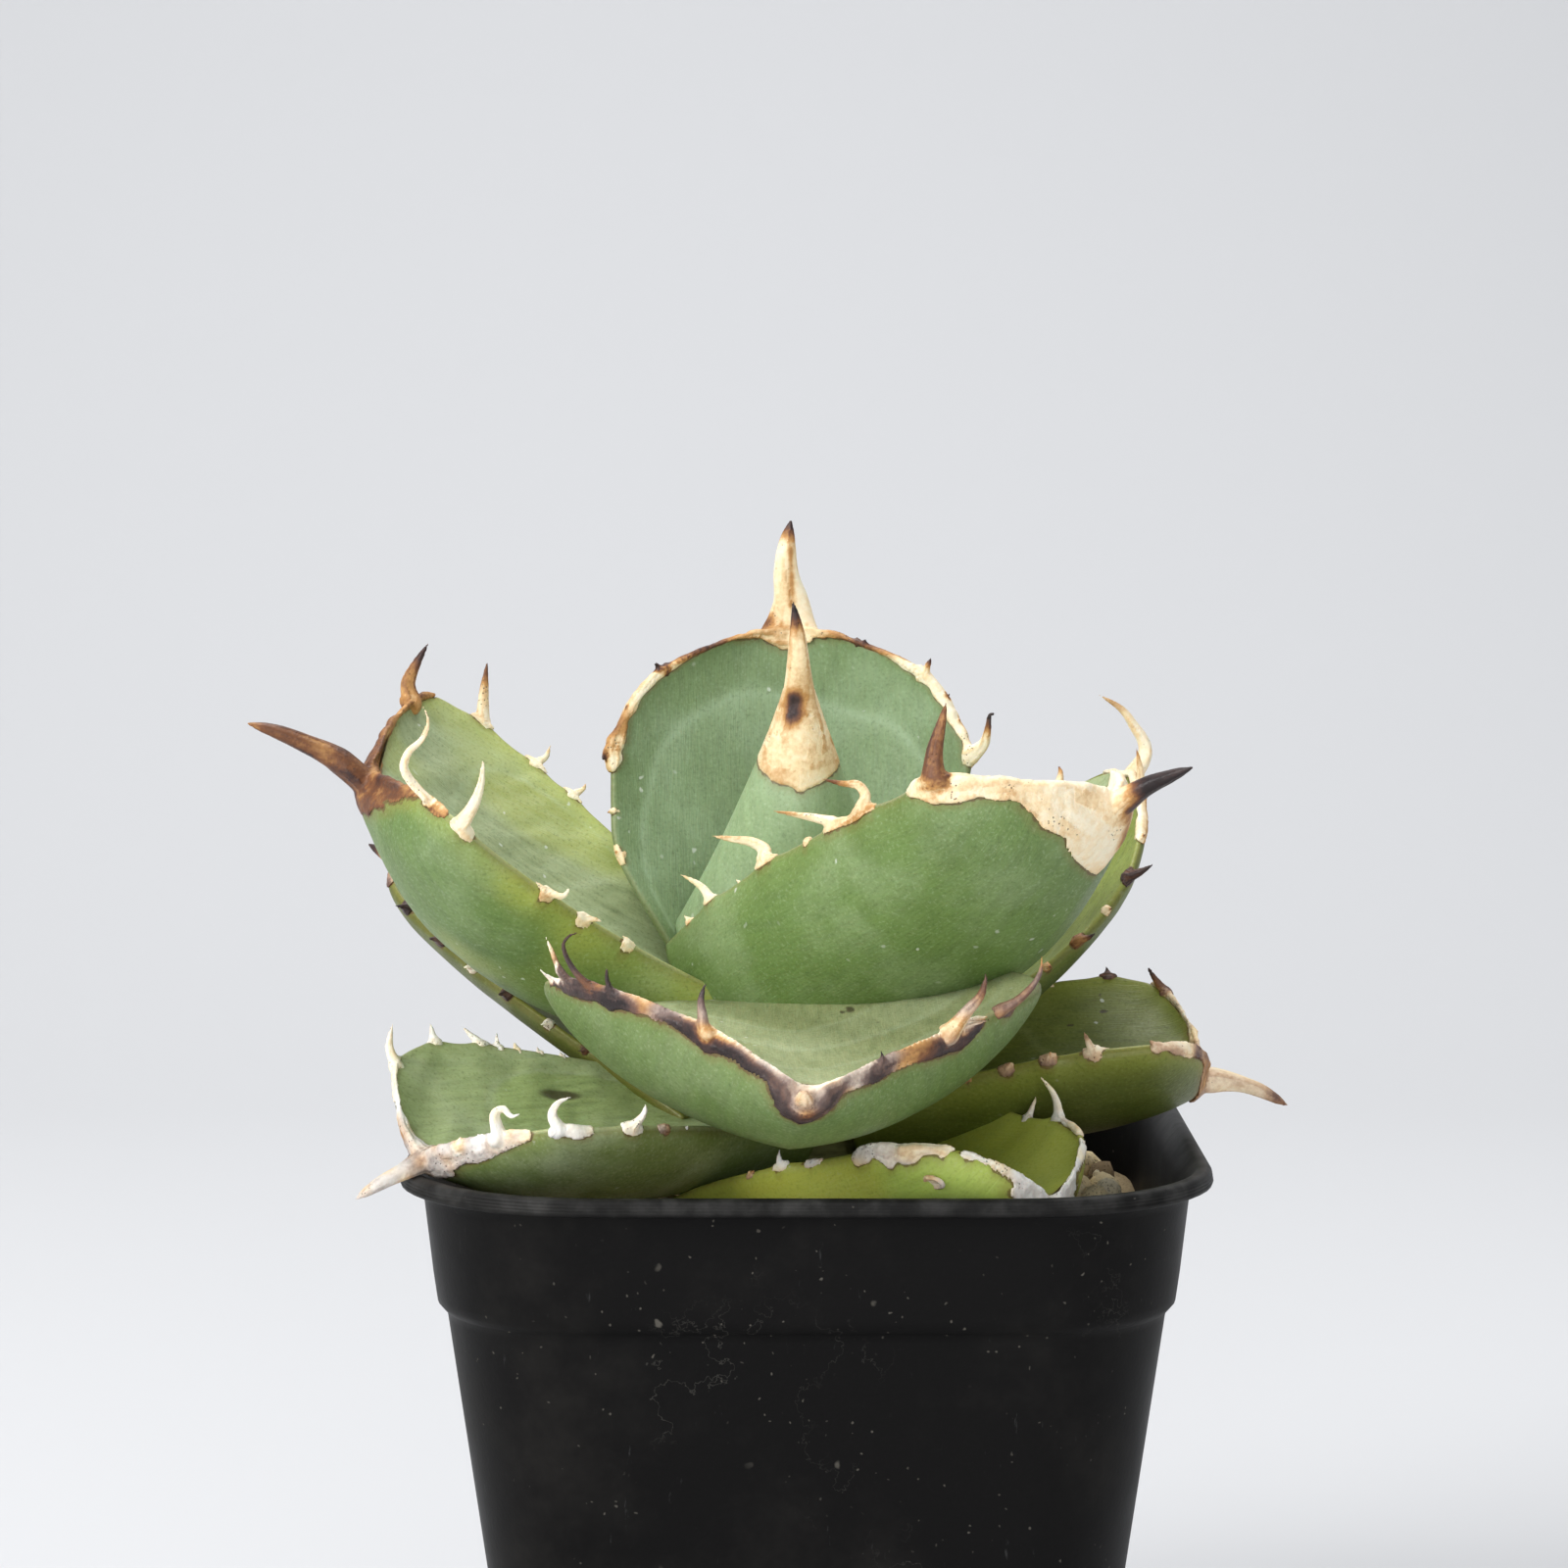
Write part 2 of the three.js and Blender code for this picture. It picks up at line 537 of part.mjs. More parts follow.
const STEP_HEIGHT = POT_HEIGHT - BAND_DEPTH;
const BODY_SLOPE = (BODY_HALF_TOP - BODY_HALF_BOTTOM) / STEP_HEIGHT;

function potSolid() {
  const wall = squareTurned([
    [0, 0, 0],
    [BODY_HALF_BOTTOM - 1.2, 0, 10],
    [BODY_HALF_BOTTOM, 1.2, 11],
    [BODY_HALF_TOP, STEP_HEIGHT, 16],
    [BAND_HALF_BOTTOM, STEP_HEIGHT + 0.8, 17],
    [BAND_HALF_TOP, POT_HEIGHT - LIP_DEPTH, 20],
    [LIP_HALF - 0.4, POT_HEIGHT - LIP_DEPTH, 22],
    [LIP_HALF, POT_HEIGHT - LIP_DEPTH + 0.6, 22.4],
    [LIP_HALF, POT_HEIGHT - 0.5, 22.4],
    [LIP_HALF - 0.6, POT_HEIGHT, 22],
    [LIP_HALF - 1.8, POT_HEIGHT, 21.2],
    [BAND_HALF_TOP - WALL, POT_HEIGHT - LIP_DEPTH, 19],
    [BAND_HALF_BOTTOM - WALL, STEP_HEIGHT + 0.8, 16],
    [BODY_HALF_TOP - WALL, STEP_HEIGHT, 15],
    [BODY_HALF_BOTTOM + BODY_SLOPE * FLOOR - WALL, FLOOR, 9.8],
    [0, FLOOR, 0],
  ]);
  let solid = toSolid(wall);
  for (const [x, y] of [[-1, -1], [1, -1], [1, 1], [-1, 1]]) {
    const drain = new THREE.CylinderGeometry(DRAIN_RADIUS, DRAIN_RADIUS, FLOOR * 4, 12);
    drain.rotateX(Math.PI / 2);
    drain.translate(x * DRAIN_OFFSET, y * DRAIN_OFFSET, 0);
    solid = solid.subtract(toSolid(drain));
  }
  return { solid, keepOut: toSolid(grown(wall, GAP)) };
}

// Bare soil fills the pot; its top is a bed of angular pumice grains
function soilSolid() {
  const clear = WALL + GAP;
  const bandSlope = (BAND_HALF_TOP - BAND_HALF_BOTTOM) / (BAND_DEPTH - LIP_DEPTH - 0.8);
  const topHalf = BAND_HALF_BOTTOM + bandSlope * (SOIL_LEVEL - STEP_HEIGHT) - clear;
  const bottom = FLOOR + GAP;
  const plug = squareTurned([
    [0, bottom, 0],
    [BODY_HALF_BOTTOM + BODY_SLOPE * bottom - clear, bottom, 9.5],
    [BODY_HALF_TOP - clear, STEP_HEIGHT, 14.7],
    [BAND_HALF_BOTTOM - clear, STEP_HEIGHT + 1.2, 15.7],
    [topHalf, SOIL_LEVEL, 17.3],
    [0, SOIL_LEVEL, 0],
  ]);
  const random = seededRandom(11);
  let solid = toSolid(plug);
  const reach = topHalf - GRAIN_SIZE - 0.6;
  const count = Math.floor(reach / GRAIN_SPACING);
  for (let row = -count; row <= count; row += 1) {
    for (let column = -count; column <= count; column += 1) {
      const x = column * GRAIN_SPACING * 0.97 + (random() - 0.5) * 2.4;
      const y = row * GRAIN_SPACING * 0.97 + (random() - 0.5) * 2.4;
      const size = GRAIN_SIZE * (0.85 + 0.4 * random());
      const turn = new THREE.Euler(random() * 6, random() * 6, random() * 6);
      const sunk = 0.4 + 0.9 * random();
      const squash = 0.7 + 0.3 * random();
      const open = Math.max(Math.abs(x), Math.abs(y)) > GRAINS_FROM;
      const cornerDistance = Math.hypot(Math.max(0, Math.abs(x) - 22), Math.max(0, Math.abs(y) - 22));
      if (open && cornerDistance < topHalf - 22 - size - GAP) {
        const grain = new THREE.IcosahedronGeometry(size, 0);
        grain.scale(1, squash, 0.85);
        grain.applyMatrix4(new THREE.Matrix4().makeRotationFromEuler(turn));
        grain.translate(x, y, SOIL_LEVEL - sunk);
        solid = solid.add(toSolid(grain));
      }
    }
  }
  return solid;
}

// Short stem that the leaves stand round, with its foot in the soil
function stemGeometry() {
  const profile = [
    [0, STEM_FOOT],
    [2, STEM_FOOT],
    [5, STEM_FOOT + 8],
    [8, 68],
    [9, 76],
    [8, 84],
    [6.5, 91],
    [4, 95],
    [0, 96.5],
  ].map(([radius, height]) => new THREE.Vector2(radius, height));
  const stem = new THREE.LatheGeometry(profile, 16);
  stem.rotateX(Math.PI / 2);
  stem.translate(AXIS.x, AXIS.y, 0);
  return stem;
}

function addPiece(group, name, solid, colour, roughness) {
  const material = new THREE.MeshStandardMaterial({ color: colour, roughness, metalness: 0, flatShading: true });
  const mesh = new THREE.Mesh(toGeometry(solid), material);
  mesh.name = name;
  group.add(mesh);
}

const plant = new THREE.Group();
const pot = potSolid();
addPiece(plant, 'pot', pot.solid, 0x1c1d1f, 0.55);

const stem = stemGeometry();
addPiece(plant, 'stem', toSolid(stem), 0x9c9a6a, 0.8);

let taken = toSolid(grown(stem, CLEARANCE));
for (const entry of LEAVES) {
  const leaf = new AgaveLeaf(entry);
  const bladeShape = bladeGeometry(leaf);
  const hornShape = hornGeometry(leaf);
  let blade = toSolid(bladeShape);
  let horn = toSolid(hornShape);
  let keepOut = toSolid(grown(bladeShape, CLEARANCE)).add(toSolid(grown(hornShape, CLEARANCE)));
  const bladeRoom = toSolid(grown(bladeShape, GAP / 2));
  for (const tooth of leaf.teeth) {
    const thorn = toSolid(toothGeometry(leaf, tooth));
    if (standsOnBand(leaf, tooth)) {
      horn = horn.add(thorn);
    } else {
      blade = blade.add(thorn);
    }
    keepOut = keepOut.add(toSolid(toothGeometry(leaf, tooth, 2 * CLEARANCE)));
  }
  horn = horn.add(toSolid(spineGeometry(leaf)));
  blade = blade.subtract(taken).subtract(pot.keepOut);
  horn = horn.subtract(taken).subtract(pot.keepOut).subtract(bladeRoom);
  addPiece(plant, `leaf_${leaf.name}`, blade, leaf.colour, 0.55);
  addPiece(plant, `horn_${leaf.name}`, horn, 0xb59a78, 0.6);
  taken = taken.add(keepOut);
}

const soil = soilSolid().subtract(taken);
addPiece(plant, 'soil', soil, 0x8c7a62, 0.95);

export default plant;
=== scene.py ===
"""Potted orca agave: fine leaves with horny edges, pot and grit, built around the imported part."""

import json
import math
from types import SimpleNamespace

import bmesh
import bpy
import numpy as np
from bpy.props import FloatProperty, FloatVectorProperty, IntProperty, PointerProperty
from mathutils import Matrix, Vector
from mathutils.kdtree import KDTree

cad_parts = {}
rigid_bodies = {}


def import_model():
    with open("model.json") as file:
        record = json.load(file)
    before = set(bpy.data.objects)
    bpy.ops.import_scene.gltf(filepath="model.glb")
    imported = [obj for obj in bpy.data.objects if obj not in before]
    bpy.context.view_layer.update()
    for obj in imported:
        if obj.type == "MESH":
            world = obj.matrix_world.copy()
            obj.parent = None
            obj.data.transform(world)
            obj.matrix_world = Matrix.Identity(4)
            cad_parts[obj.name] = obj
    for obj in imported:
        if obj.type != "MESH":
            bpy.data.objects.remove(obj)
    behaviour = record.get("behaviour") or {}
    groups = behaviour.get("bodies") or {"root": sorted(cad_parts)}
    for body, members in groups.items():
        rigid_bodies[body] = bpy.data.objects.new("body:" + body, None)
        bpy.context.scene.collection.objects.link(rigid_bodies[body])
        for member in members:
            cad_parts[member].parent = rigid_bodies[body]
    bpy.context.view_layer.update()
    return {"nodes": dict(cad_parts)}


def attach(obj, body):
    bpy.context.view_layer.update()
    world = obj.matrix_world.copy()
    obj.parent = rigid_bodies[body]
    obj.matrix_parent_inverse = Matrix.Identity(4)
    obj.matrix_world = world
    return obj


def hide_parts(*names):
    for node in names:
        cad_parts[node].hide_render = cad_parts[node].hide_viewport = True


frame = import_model()

bl_info = {
    "name": "Potted Agave",
    "version": (1, 0, 0),
    "blender": (4, 5, 0),
    "location": "3D View > Sidebar > Agave",
    "description": "Builds an agave rosette with horny toothed leaves in a square nursery pot",
    "category": "Add Mesh",
}

MM = 0.001
BODY = "root"

# Plant, in millimetres
AXIS = np.array([-1.5, 0.5, 0.0])
LARGE_TOOTH = 1.6
TOOTH_ROOT = 0.9
HORN_STATION = 0.3
LEAST_BAND = 0.17
SCAR_WIDTH = 0.62

# Steps and shares
MIDRIB_STEPS = 64
CAP_STATIONS = 55
HALVINGS = 14
NEIGHBOURS = 5
BLADE_END = 0.988
CAP_TURN_IN = 0.3
GRAIN_SHAPES = 6

# Pot, in millimetres
POT_HEIGHT = 80.0
LIP_HALF = 45.0
LIP_DEPTH = 2.0
BAND_DEPTH = 15.5
BAND_HALF_TOP = 42.5
BAND_HALF_BOTTOM = 40.8
BODY_HALF_TOP = 39.8
BODY_HALF_BOTTOM = 31.0
WALL = 1.3
FLOOR = 2.0
DRAIN_RADIUS = 3.5
DRAIN_OFFSET = 17.0
POT_SIDE_STEPS = 9
PLAIN_SIDE_STEPS = 5
PLAIN_CORNER_STEPS = 8
SOIL_LEVEL = 72.0
BAND_FOOT = POT_HEIGHT - BAND_DEPTH
SIDE_SLOPE = (BODY_HALF_TOP - BODY_HALF_BOTTOM) / BAND_FOOT

# Camera, in millimetres and degrees
CAMERA_PLACE = (-2.5, -480.0, 161.0)
CAMERA_PITCH = 4.85
CAMERA_LENS = 95.85

# Lights: name, place, height that it aims at on the axis and size, in metres, and its share of the power
LIGHTS = (
    ("key light", (-0.85, -0.62, 0.72), 0.09, 0.65, 1.0),
    ("fill light", (0.1, -1.1, 0.22), 0.09, 0.8, 0.42),
    ("top light", (0.05, 0.3, 1.0), 0.1, 0.6, 0.56),
)


# Small maths

def mix(a, b, share):
    return a + (b - a) * share


def smooth(x):
    x = np.clip(x, 0.0, 1.0)
    return x * x * (3 - 2 * x)


def bell(x):
    """1 at 0, and almost 0 beyond 2 on either side."""
    return np.exp(-x * x)


def unit(v):
    return v / np.maximum(np.linalg.norm(v, axis=-1, keepdims=True), 1e-9)


def noise(points, seed=0):
    """Smooth random values from -1 to 1 at points of a lattice with unit cells."""
    points = np.atleast_2d(np.asarray(points, float))
    cell = np.floor(points).astype(np.int64)
    part = smooth(points - cell)
    primes = np.array([73856093, 19349663, 83492791])[: points.shape[1]]
    total = np.zeros(len(points))
    for corner in np.ndindex(*(2,) * points.shape[1]):
        offset = np.array(corner)
        key = ((cell + offset) * primes).sum(axis=1) + seed * 40503
        key = (key ^ (key >> 13)) * 1274126177
        key = (key ^ (key >> 16)) & 0xFFFF
        weight = np.where(offset == 1, part, 1 - part).prod(axis=1)
        total += (key / 32767.5 - 1) * weight
    return total


def noise_line(x, seed=0):
    return noise(np.stack([np.asarray(x, float), np.full(np.shape(x), seed * 7.3)], axis=-1), seed)


def travelled(points):
    """Distance along a row of points, from 0 at the first."""
    return np.r_[0, np.cumsum(np.linalg.norm(np.diff(points, axis=0), axis=1))]


def between(share, values):
    """Values that stand at even steps from 0 to 1, read at shares of the way."""
    return np.interp(share, np.linspace(0, 1, len(values)), values)


def curve_points(points, count):
    """A smooth curve through points, as count samples."""
    points = np.asarray(points, float)
    padded = np.vstack([2 * points[0] - points[1], points, 2 * points[-1] - points[-2]])
    steps = travelled(points)
    place = np.interp(np.linspace(0, steps[-1], count), steps, np.arange(len(points)))
    index = np.minimum(place.astype(int), len(points) - 2)
    u = (place - index)[:, None]
    a, b, c, d = (padded[index + k] for k in range(4))
    squared = (2 * a - 5 * b + 4 * c - d) * u ** 2
    cubed = (3 * b - a - 3 * c + d) * u ** 3
    return 0.5 * (2 * b + (c - a) * u + squared + cubed)


# Leaves: places along a leaf run from 0 at its base to 1 at its tip. Left is seen from above the base.
# A tooth's path is given in millimetres along the leaf, out from its edge and up from its face.
# Tones run from 0, cream, to 1, almost black. Those of the band and the cap go from the upper face to the
# underside. A spine's are those of its root and its tip, and how far along it they change.
# Lift, roll and cup are angles in degrees, at the base and at the tip. Half widths are those of the base
# and of the widest place. Pairs for the band are those of the left edge and the right edge.
# Stains are strokes near the tip: start, end, radius and tone. Scars are rings: place, share across, face,
# half length, half width and tone. Specks are spots: place, share across, radius and stretch.
# Band marks tone a stretch of the band: side, place, reach and tone.

def tooth(side, at, width, *path, root=0.12, tip=0.9, foot=1.0, slip=0.0, flat=0.75):
    """foot is how long its saddle is, and slip how far that lies towards the leaf's tip, in millimetres."""
    return SimpleNamespace(
        side=side, at=at, width=width, path=path, root=root, tip=tip, foot=foot, slip=slip, flat=flat,
    )


def left(at, width, *path, **look):
    return tooth(1, at, width, *path, **look)


def right(at, width, *path, **look):
    return tooth(-1, at, width, *path, **look)


LEAF_DEFAULTS = {
    "turn": 0.0,
    "tip_half_width": 1.8,
    "shoulder": 0.7,
    "shoulder_power": 2.8,
    "shoulder_round": 0.6,
    "base_thickness": 6.0,
    "body_thickness": 7.0,
    "tip_thickness": 2.2,
    "edge_thickness": 0.8,
    "keel": 0.3,
    "lean": 0.0,
    "band": (1.3, 1.3),
    "band_from": (0.7, 0.7),
    "cap_above": 2.5,
    "cap_below": 6.0,
    "cap_corner": 2.5,
    "cap_spread": 0.55,
    "cap_power": 1.2,
    "spine": ((4.5, 0, -0.4), (9, 0, -1)),
    "spine_start": (-2.4, 0, 0),
    "spine_width": (3.2, 3.6, 3.5, 3.2, 2.8, 2.4, 1.9, 1.2, 0.15),
    "spine_depth": 3.0,
    "spine_tone": (0.12, 0.9, 0.75),
    "band_tone": (0.12, 0.3, 0.45),
    "cap_tone": (0.2, 0.25),
    "bleach": 0.0,
    "horn_slot": "horn",
    "stains": (),
    "scars": (),
    "specks": (),
    "finish": "fresh",
    "yellow_edge": 0.35,
    "yellow_patch": 0.0,
    "ghosts": (0.62, 0.8),
    "wrinkle": 0.12,
    "mottle": 0.05,
    "proud": 0.32,
    "under": 0.75,
    "ragged": 0.45,
    "rough": 1.0,
    "band_marks": (),
    "teeth": (),
}

LEAVES = [
    dict(
        name="01_centre", azimuth=-84, base_radius=0.5, base_height=92.5, length=39.5, lift=(77, 86),
        roll=(-1, -2), half_width=(11, 16.5), tip_half_width=0.8, shoulder=0.25, shoulder_power=1,
        shoulder_round=1.2, cup=(76, 74), base_thickness=4, body_thickness=4, tip_thickness=1.4,
        keel=0.2, band_from=(0.8, 0.8), band=(0.4, 0.4), cap_above=5, cap_below=11.0, cap_corner=7.5,
        cap_spread=0.95, cap_power=1.0, proud=0.14,
        spine=((3.0, -0.2, -1.0), (7.0, -0.4, -1.1), (10.6, -0.9, -1.2)),
        spine_start=(-8.0, -0.2, -1.3), spine_width=(5.6, 6.3, 5.0, 4.0, 3.2, 2.6, 2.0, 1.2, 0.15),
        spine_depth=2.2, spine_tone=(0.17, 1.0, 0.86), cap_tone=(0.17, 0.19), rough=0.3,
        band_tone=(0.14, 0.14, 0.14), stains=(((-0.9, -0.6, -1.7), (-2.4, -0.9, -1.9), 1.1, 0.9),),
        # Leaf 01's mint finish is partly painted light: paler, as if lit from the upper left
        mottle=0.02, finish="mint", yellow_edge=0.0, ghosts=(0.5, 0.72), wrinkle=0.03,
    ),
    dict(
        name="02_back", azimuth=91, base_radius=4, base_height=92.5, length=47, lift=(59, 90),
        roll=(-2, -2), half_width=(13, 22), shoulder=0.48, shoulder_power=3.7, shoulder_round=0.68,
        cup=(46, 26), body_thickness=6, band_from=(0.64, 0.72), band=(0.8, 0.8), cap_above=2.6,
        cap_below=3.0, cap_corner=0.9, cap_spread=0.45,
        stains=(((9.5, -0.1, 0.9), (3.0, -0.3, 1.2), 0.4, 0.46),
            ((1.2, 3.2, 0.6), (-1.2, 5.6, 0.6), 1.0, 0.85)),
        spine=((3.2, -0.1, -0.1), (6.8, 0.5, -0.1), (10.0, 0.4, -0.1), (13.2, -0.1, -0.1)),
        spine_width=(5.6, 7.6, 5.6, 4.3, 3.4, 2.9, 2.4, 1.6, 0.15), spine_depth=2.2,
        spine_tone=(0.08, 0.9, 0.88), band_tone=(0.03, 0.09, 0.35), cap_tone=(0.08, 0.22),
        band_marks=((1, 0.955, 1.6, 0.7), (-1, 0.965, 1.4, 0.6), (1, 0.75, 2.0, 0.45)),
        # Leaf 02's blue green finish is partly painted shade: darker, as if shaded behind leaf 01
        finish="blue_green", yellow_edge=0.03, ghosts=(0.5, 0.84),
        teeth=(
            left(0.9, 1.8, (0.6, 0.7, 0.3), (0.6, 1.2, 0.6), root=0.8, tip=1),
            left(0.8, 1.2, (0.2, 0.7, 0.3)),
            left(0.69, 2.2, (-0.9, 0.8, 0.2), (-1.6, 1.2, 0.6), root=0.4, foot=1.6),
            left(0.4, 1.4, (0.3, 0.8, 0.2), tip=0.5, foot=1.8),
            right(0.968, 1.4, (0.6, 0.6, 0.2), tip=1, root=0.7),
            right(0.89, 2.2, (0.9, 0.7, 0.6), (1.9, 1.3, 0.7), tip=1),
            right(0.824, 1.2, (0.6, 0.9, 0.1), tip=1, root=0.5), right(0.76, 1.2, (0.3, 0.6, 0.2)),
            right(0.668, 2.6, (1.2, 1.9, 0.3), (3.0, 2.9, 1.0), (4.3, 3.4, 1.4), (4.6, 4.6, 1.5),
                root=0.03, tip=1),
            right(0.5, 1.4, (-0.4, 1.2, 0.4), tip=0.5), left(0.52, 1.2, (-0.3, 0.9, 0.2), tip=0.5),
        ),
    ),
    dict(
        name="03_right_front", azimuth=-46, base_radius=3.5, base_height=92, length=54.5, lift=(42, 26),
        turn=3, roll=(-10, 10), half_width=(21, 19.5), shoulder=0.75, shoulder_power=2.9,
        shoulder_round=0.66, cup=(72, 47), base_thickness=6.5, body_thickness=10.5, lean=0.55,
        band_from=(0.97, 0.83), band=(0.6, 1.35), cap_above=3, cap_below=7.2, cap_corner=3,
        cap_spread=0.5, cap_power=1.3, spine=((3.6, 0.3, 0.3), (6.8, 1.0, 0.1), (9.9, 1.4, -0.2)),
        spine_start=(-4.5, -1.2, -0.6), spine_width=(4.6, 4.6, 4.2, 3.6, 2.9, 2.5, 2.0, 1.3, 0.15),
        spine_tone=(0.1, 0.97, 0.52), band_tone=(0.02, 0.04, 0.1), cap_tone=(0.02, 0.14), rough=0.7,
        stains=(((1.6, -0.5, -1.6), (8.0, 0.7, -1.1), 1.1, 0.97),
            ((-3.5, 2.6, -3.6), (1.0, 1.4, -2.4), 1.6, 0.5)),
        mottle=0.035, yellow_edge=0.08, ghosts=(0.7,), wrinkle=0.06,
        teeth=(
            right(0.858, 3.7, (1.2, 1.6, 2.1), (2.6, 2.6, 4.1), (4.2, 3.7, 6.3), root=0.6, tip=0.5,
                slip=-1.0),
            right(0.665, 2.0, (0.9, 0.6, 0.8), (0.8, 1.9, 1.4), (-0.4, 3.1, 1.3), (-1.8, 5.2, 1.0),
                root=0.15, tip=0.62, foot=1.8, slip=-0.6),
            right(0.575, 1.8, (-1.7, 2.1, 0.0), (-4.3, 5.4, -0.6), root=0.08, tip=0.35, foot=1.6),
            right(0.49, 1.3, (-0.2, 0.5, 0.2), tip=0.2),
            right(0.367, 2.2, (0.4, 0.7, 0.6), (-0.3, 2.4, 0.6), (-1.7, 4.1, 0.1), (-3.3, 6.0, -0.3),
                root=0.05, tip=0.25, foot=1.3),
            right(0.176, 1.8, (-0.2, 1.4, 0.4), (-0.4, 2.6, 0.2), (-1.3, 4.6, 0.0), root=0.05,
                tip=0.25),
            right(0.09, 1.4, (-0.4, 1.2, 0.1), tip=0.2), right(0.27, 1.0, (-0.2, 0.6, 0.1), tip=0.2),
            left(0.7, 2.0, (0.8, 1.4, 0.4), (0.6, 2.4, 0.6), tip=0.5),
            left(0.55, 2.2, (0.4, 1.5, 0.8), (-0.6, 3, 1.6), tip=0.4),
            left(0.38, 1.8, (-0.2, 1.2, 0.6), (-0.8, 2.2, 1), tip=0.3),
        ),
    ),
    dict(
        name="04_left", azimuth=180, base_radius=4.5, base_height=93, length=53, lift=(25, 42), turn=22,
        roll=(-10, -19), half_width=(12, 24), shoulder=0.86, shoulder_power=2.7, shoulder_round=0.54,
        cup=(51, 34), base_thickness=7, body_thickness=10, keel=0.25, band_from=(0.985, 0.93),
        band=(0.75, 0.75), cap_below=2.2, cap_above=1.5, cap_corner=0.9,
        spine=((4.1, 0.1, -0.2), (8.6, 0.2, -1.4), (12.2, 0.4, -2.7), (14.8, 0.6, -3.9)),
        spine_start=(-1.6, 0, -0.4), spine_width=(4.2, 4.6, 4.2, 3.4, 2.8, 2.5, 2.1, 1.5, 0.2),
        spine_tone=(0.62, 0.62, 0.5), band_tone=(0.35, 0.4, 0.6), cap_tone=(0.5, 0.72), mottle=0.16,
        yellow_patch=0.5, ghosts=(0.8,), wrinkle=0.3,
        teeth=(
            right(0.962, 3.0, (1.5, 1.5, 0.4), (2.2, 3.5, 1.7), (2.7, 5.9, 3.4), root=0.4, tip=0.92,
                foot=1.2),
            right(0.802, 2.4, (1.9, 2.7, 1.3), (3.8, 5.7, 2.7), root=0.1, tip=0.6),
            right(0.66, 1.7, (-0.5, 1.0, 0.8), (-0.1, 2.3, 1.6), root=0.08, tip=0.2, foot=1.5),
            right(0.56, 1.6, (-0.6, 0.9, 0.7), (-0.5, 1.8, 1.2), root=0.08, tip=0.2, foot=1.5),
            right(0.42, 1.4, (-0.5, 1.0, 0.6), tip=0.2),
            left(0.958, 1.9, (2.4, -0.3, 0.4), (4.5, -0.4, 1.1), (5.4, 0.2, 2.6), (5.3, 1.2, 4.5),
                (5.9, 1.9, 6.1), (6.9, 2.0, 6.9), (8.6, 1.2, 7.9), root=0.0, tip=0.12, flat=0.5,
                slip=-0.6),
            left(0.892, 2.2, (0.5, 1.7, 2.1), (1.6, 3.2, 4.0), (3.3, 4.3, 5.9), root=0.0, tip=0.08,
                foot=1.1, slip=-1.2),
            left(0.592, 1.6, (-1.3, 0.8, 0.2), (-1.3, 2.0, 1.3), root=0.0, tip=0.0, foot=1.2),
            left(0.605, 1.2, (0.9, 0.2, 0.0), (1.8, 0.5, 0.1), root=0.0, tip=0.0, foot=0.7),
            left(0.472, 1.5, (-0.9, 0.7, 0.3), (-1.6, 1.0, 0.3), root=0.0, tip=0.0, foot=1.1),
            left(0.487, 1.1, (1.2, 0.3, 0.0), root=0.0, tip=0.0, foot=0.7),
            left(0.35, 1.4, (0.4, 0.5, 0.2), (1.2, 0.5, 0.2), root=0.03, tip=0.15, foot=1.3),
        ),
    ),
    dict(
        name="05_right_back", azimuth=33, base_radius=4.7, base_height=85.5, length=55.8, lift=(16, 62),
        turn=-4, roll=(3, -1), half_width=(12, 18), shoulder=0.6, shoulder_power=2, shoulder_round=0.8,
        cup=(42, 12), base_thickness=4.5, body_thickness=3.6, band_from=(1.05, 0.84), band=(0.5, 0.8),
        cap_above=1.4, cap_below=2.6, cap_corner=0.5, proud=0.22,
        spine=((2.6, -0.4, -0.5), (4.3, -0.4, 0.2), (5.6, -0.2, 2.4), (6.7, 0, 5.0), (6.9, 0.2, 8.8)),
        spine_width=(2.6, 2.7, 2.4, 2.0, 1.7, 1.4, 1.1, 0.7, 0.12), spine_tone=(0.06, 0.3, 0.75),
        band_tone=(0.05, 0.12, 0.3), cap_tone=(0.05, 0.15), finish="dull_yellow", yellow_edge=0.16,
        ghosts=(0.7,), wrinkle=0.2,
        teeth=(
            right(0.965, 1.7, (1.8, 0.3, 1.0), (4.3, 0.2, 2.9), tip=0.5),
            right(0.84, 1.4, (0.5, 0.7, -0.2), root=0.1),
            right(0.73, 2.2, (1.0, 1.2, -0.6), (2.2, 2.5, -1.0), root=0.75, tip=0.95),
            right(0.63, 1.4, (0.5, 0.8, -0.4)),
            right(0.53, 1.9, (0.7, 0.9, -0.6), (1.4, 1.8, -0.8), root=0.55),
            right(0.44, 1.3, (0.2, 0.7, -0.5), root=0.3), right(0.37, 1.3, (0.2, 0.7, -0.5), root=0.3),
            left(0.68, 1.4, (0.5, 0.7, -0.6), tip=0.6),
            left(0.55, 1.8, (0.3, 1.2, -0.4), (-0.4, 2.0, -0.8), tip=0.4),
            left(0.4, 1.5, (0.1, 1.0, 0.2), (-0.3, 1.7, 0.4), tip=0.3),
        ),
    ),
    dict(
        name="06_front", azimuth=-91, base_radius=5, base_height=98.5, length=50.5, lift=(-6, -5.5),
        turn=6.5, roll=(10, -9), half_width=(17, 27.5), tip_half_width=1.9, shoulder=0.55,
        shoulder_power=1.65, shoulder_round=1, cup=(1.5, 46), base_thickness=9, body_thickness=11,
        keel=0.45, band_from=(0.785, 0.655), band=(0.9, 0.9), cap_above=1.5, cap_below=1.6,
        cap_corner=1.0, proud=0.2, spine=((0.9, -0.2, 0.6), (1.6, -0.5, 1.4)),
        spine_start=(-1.2, 0, -0.2), spine_width=(2.6, 2.6, 2.3, 1.8, 1.0), spine_tone=(0.45, 0.3, 0.6),
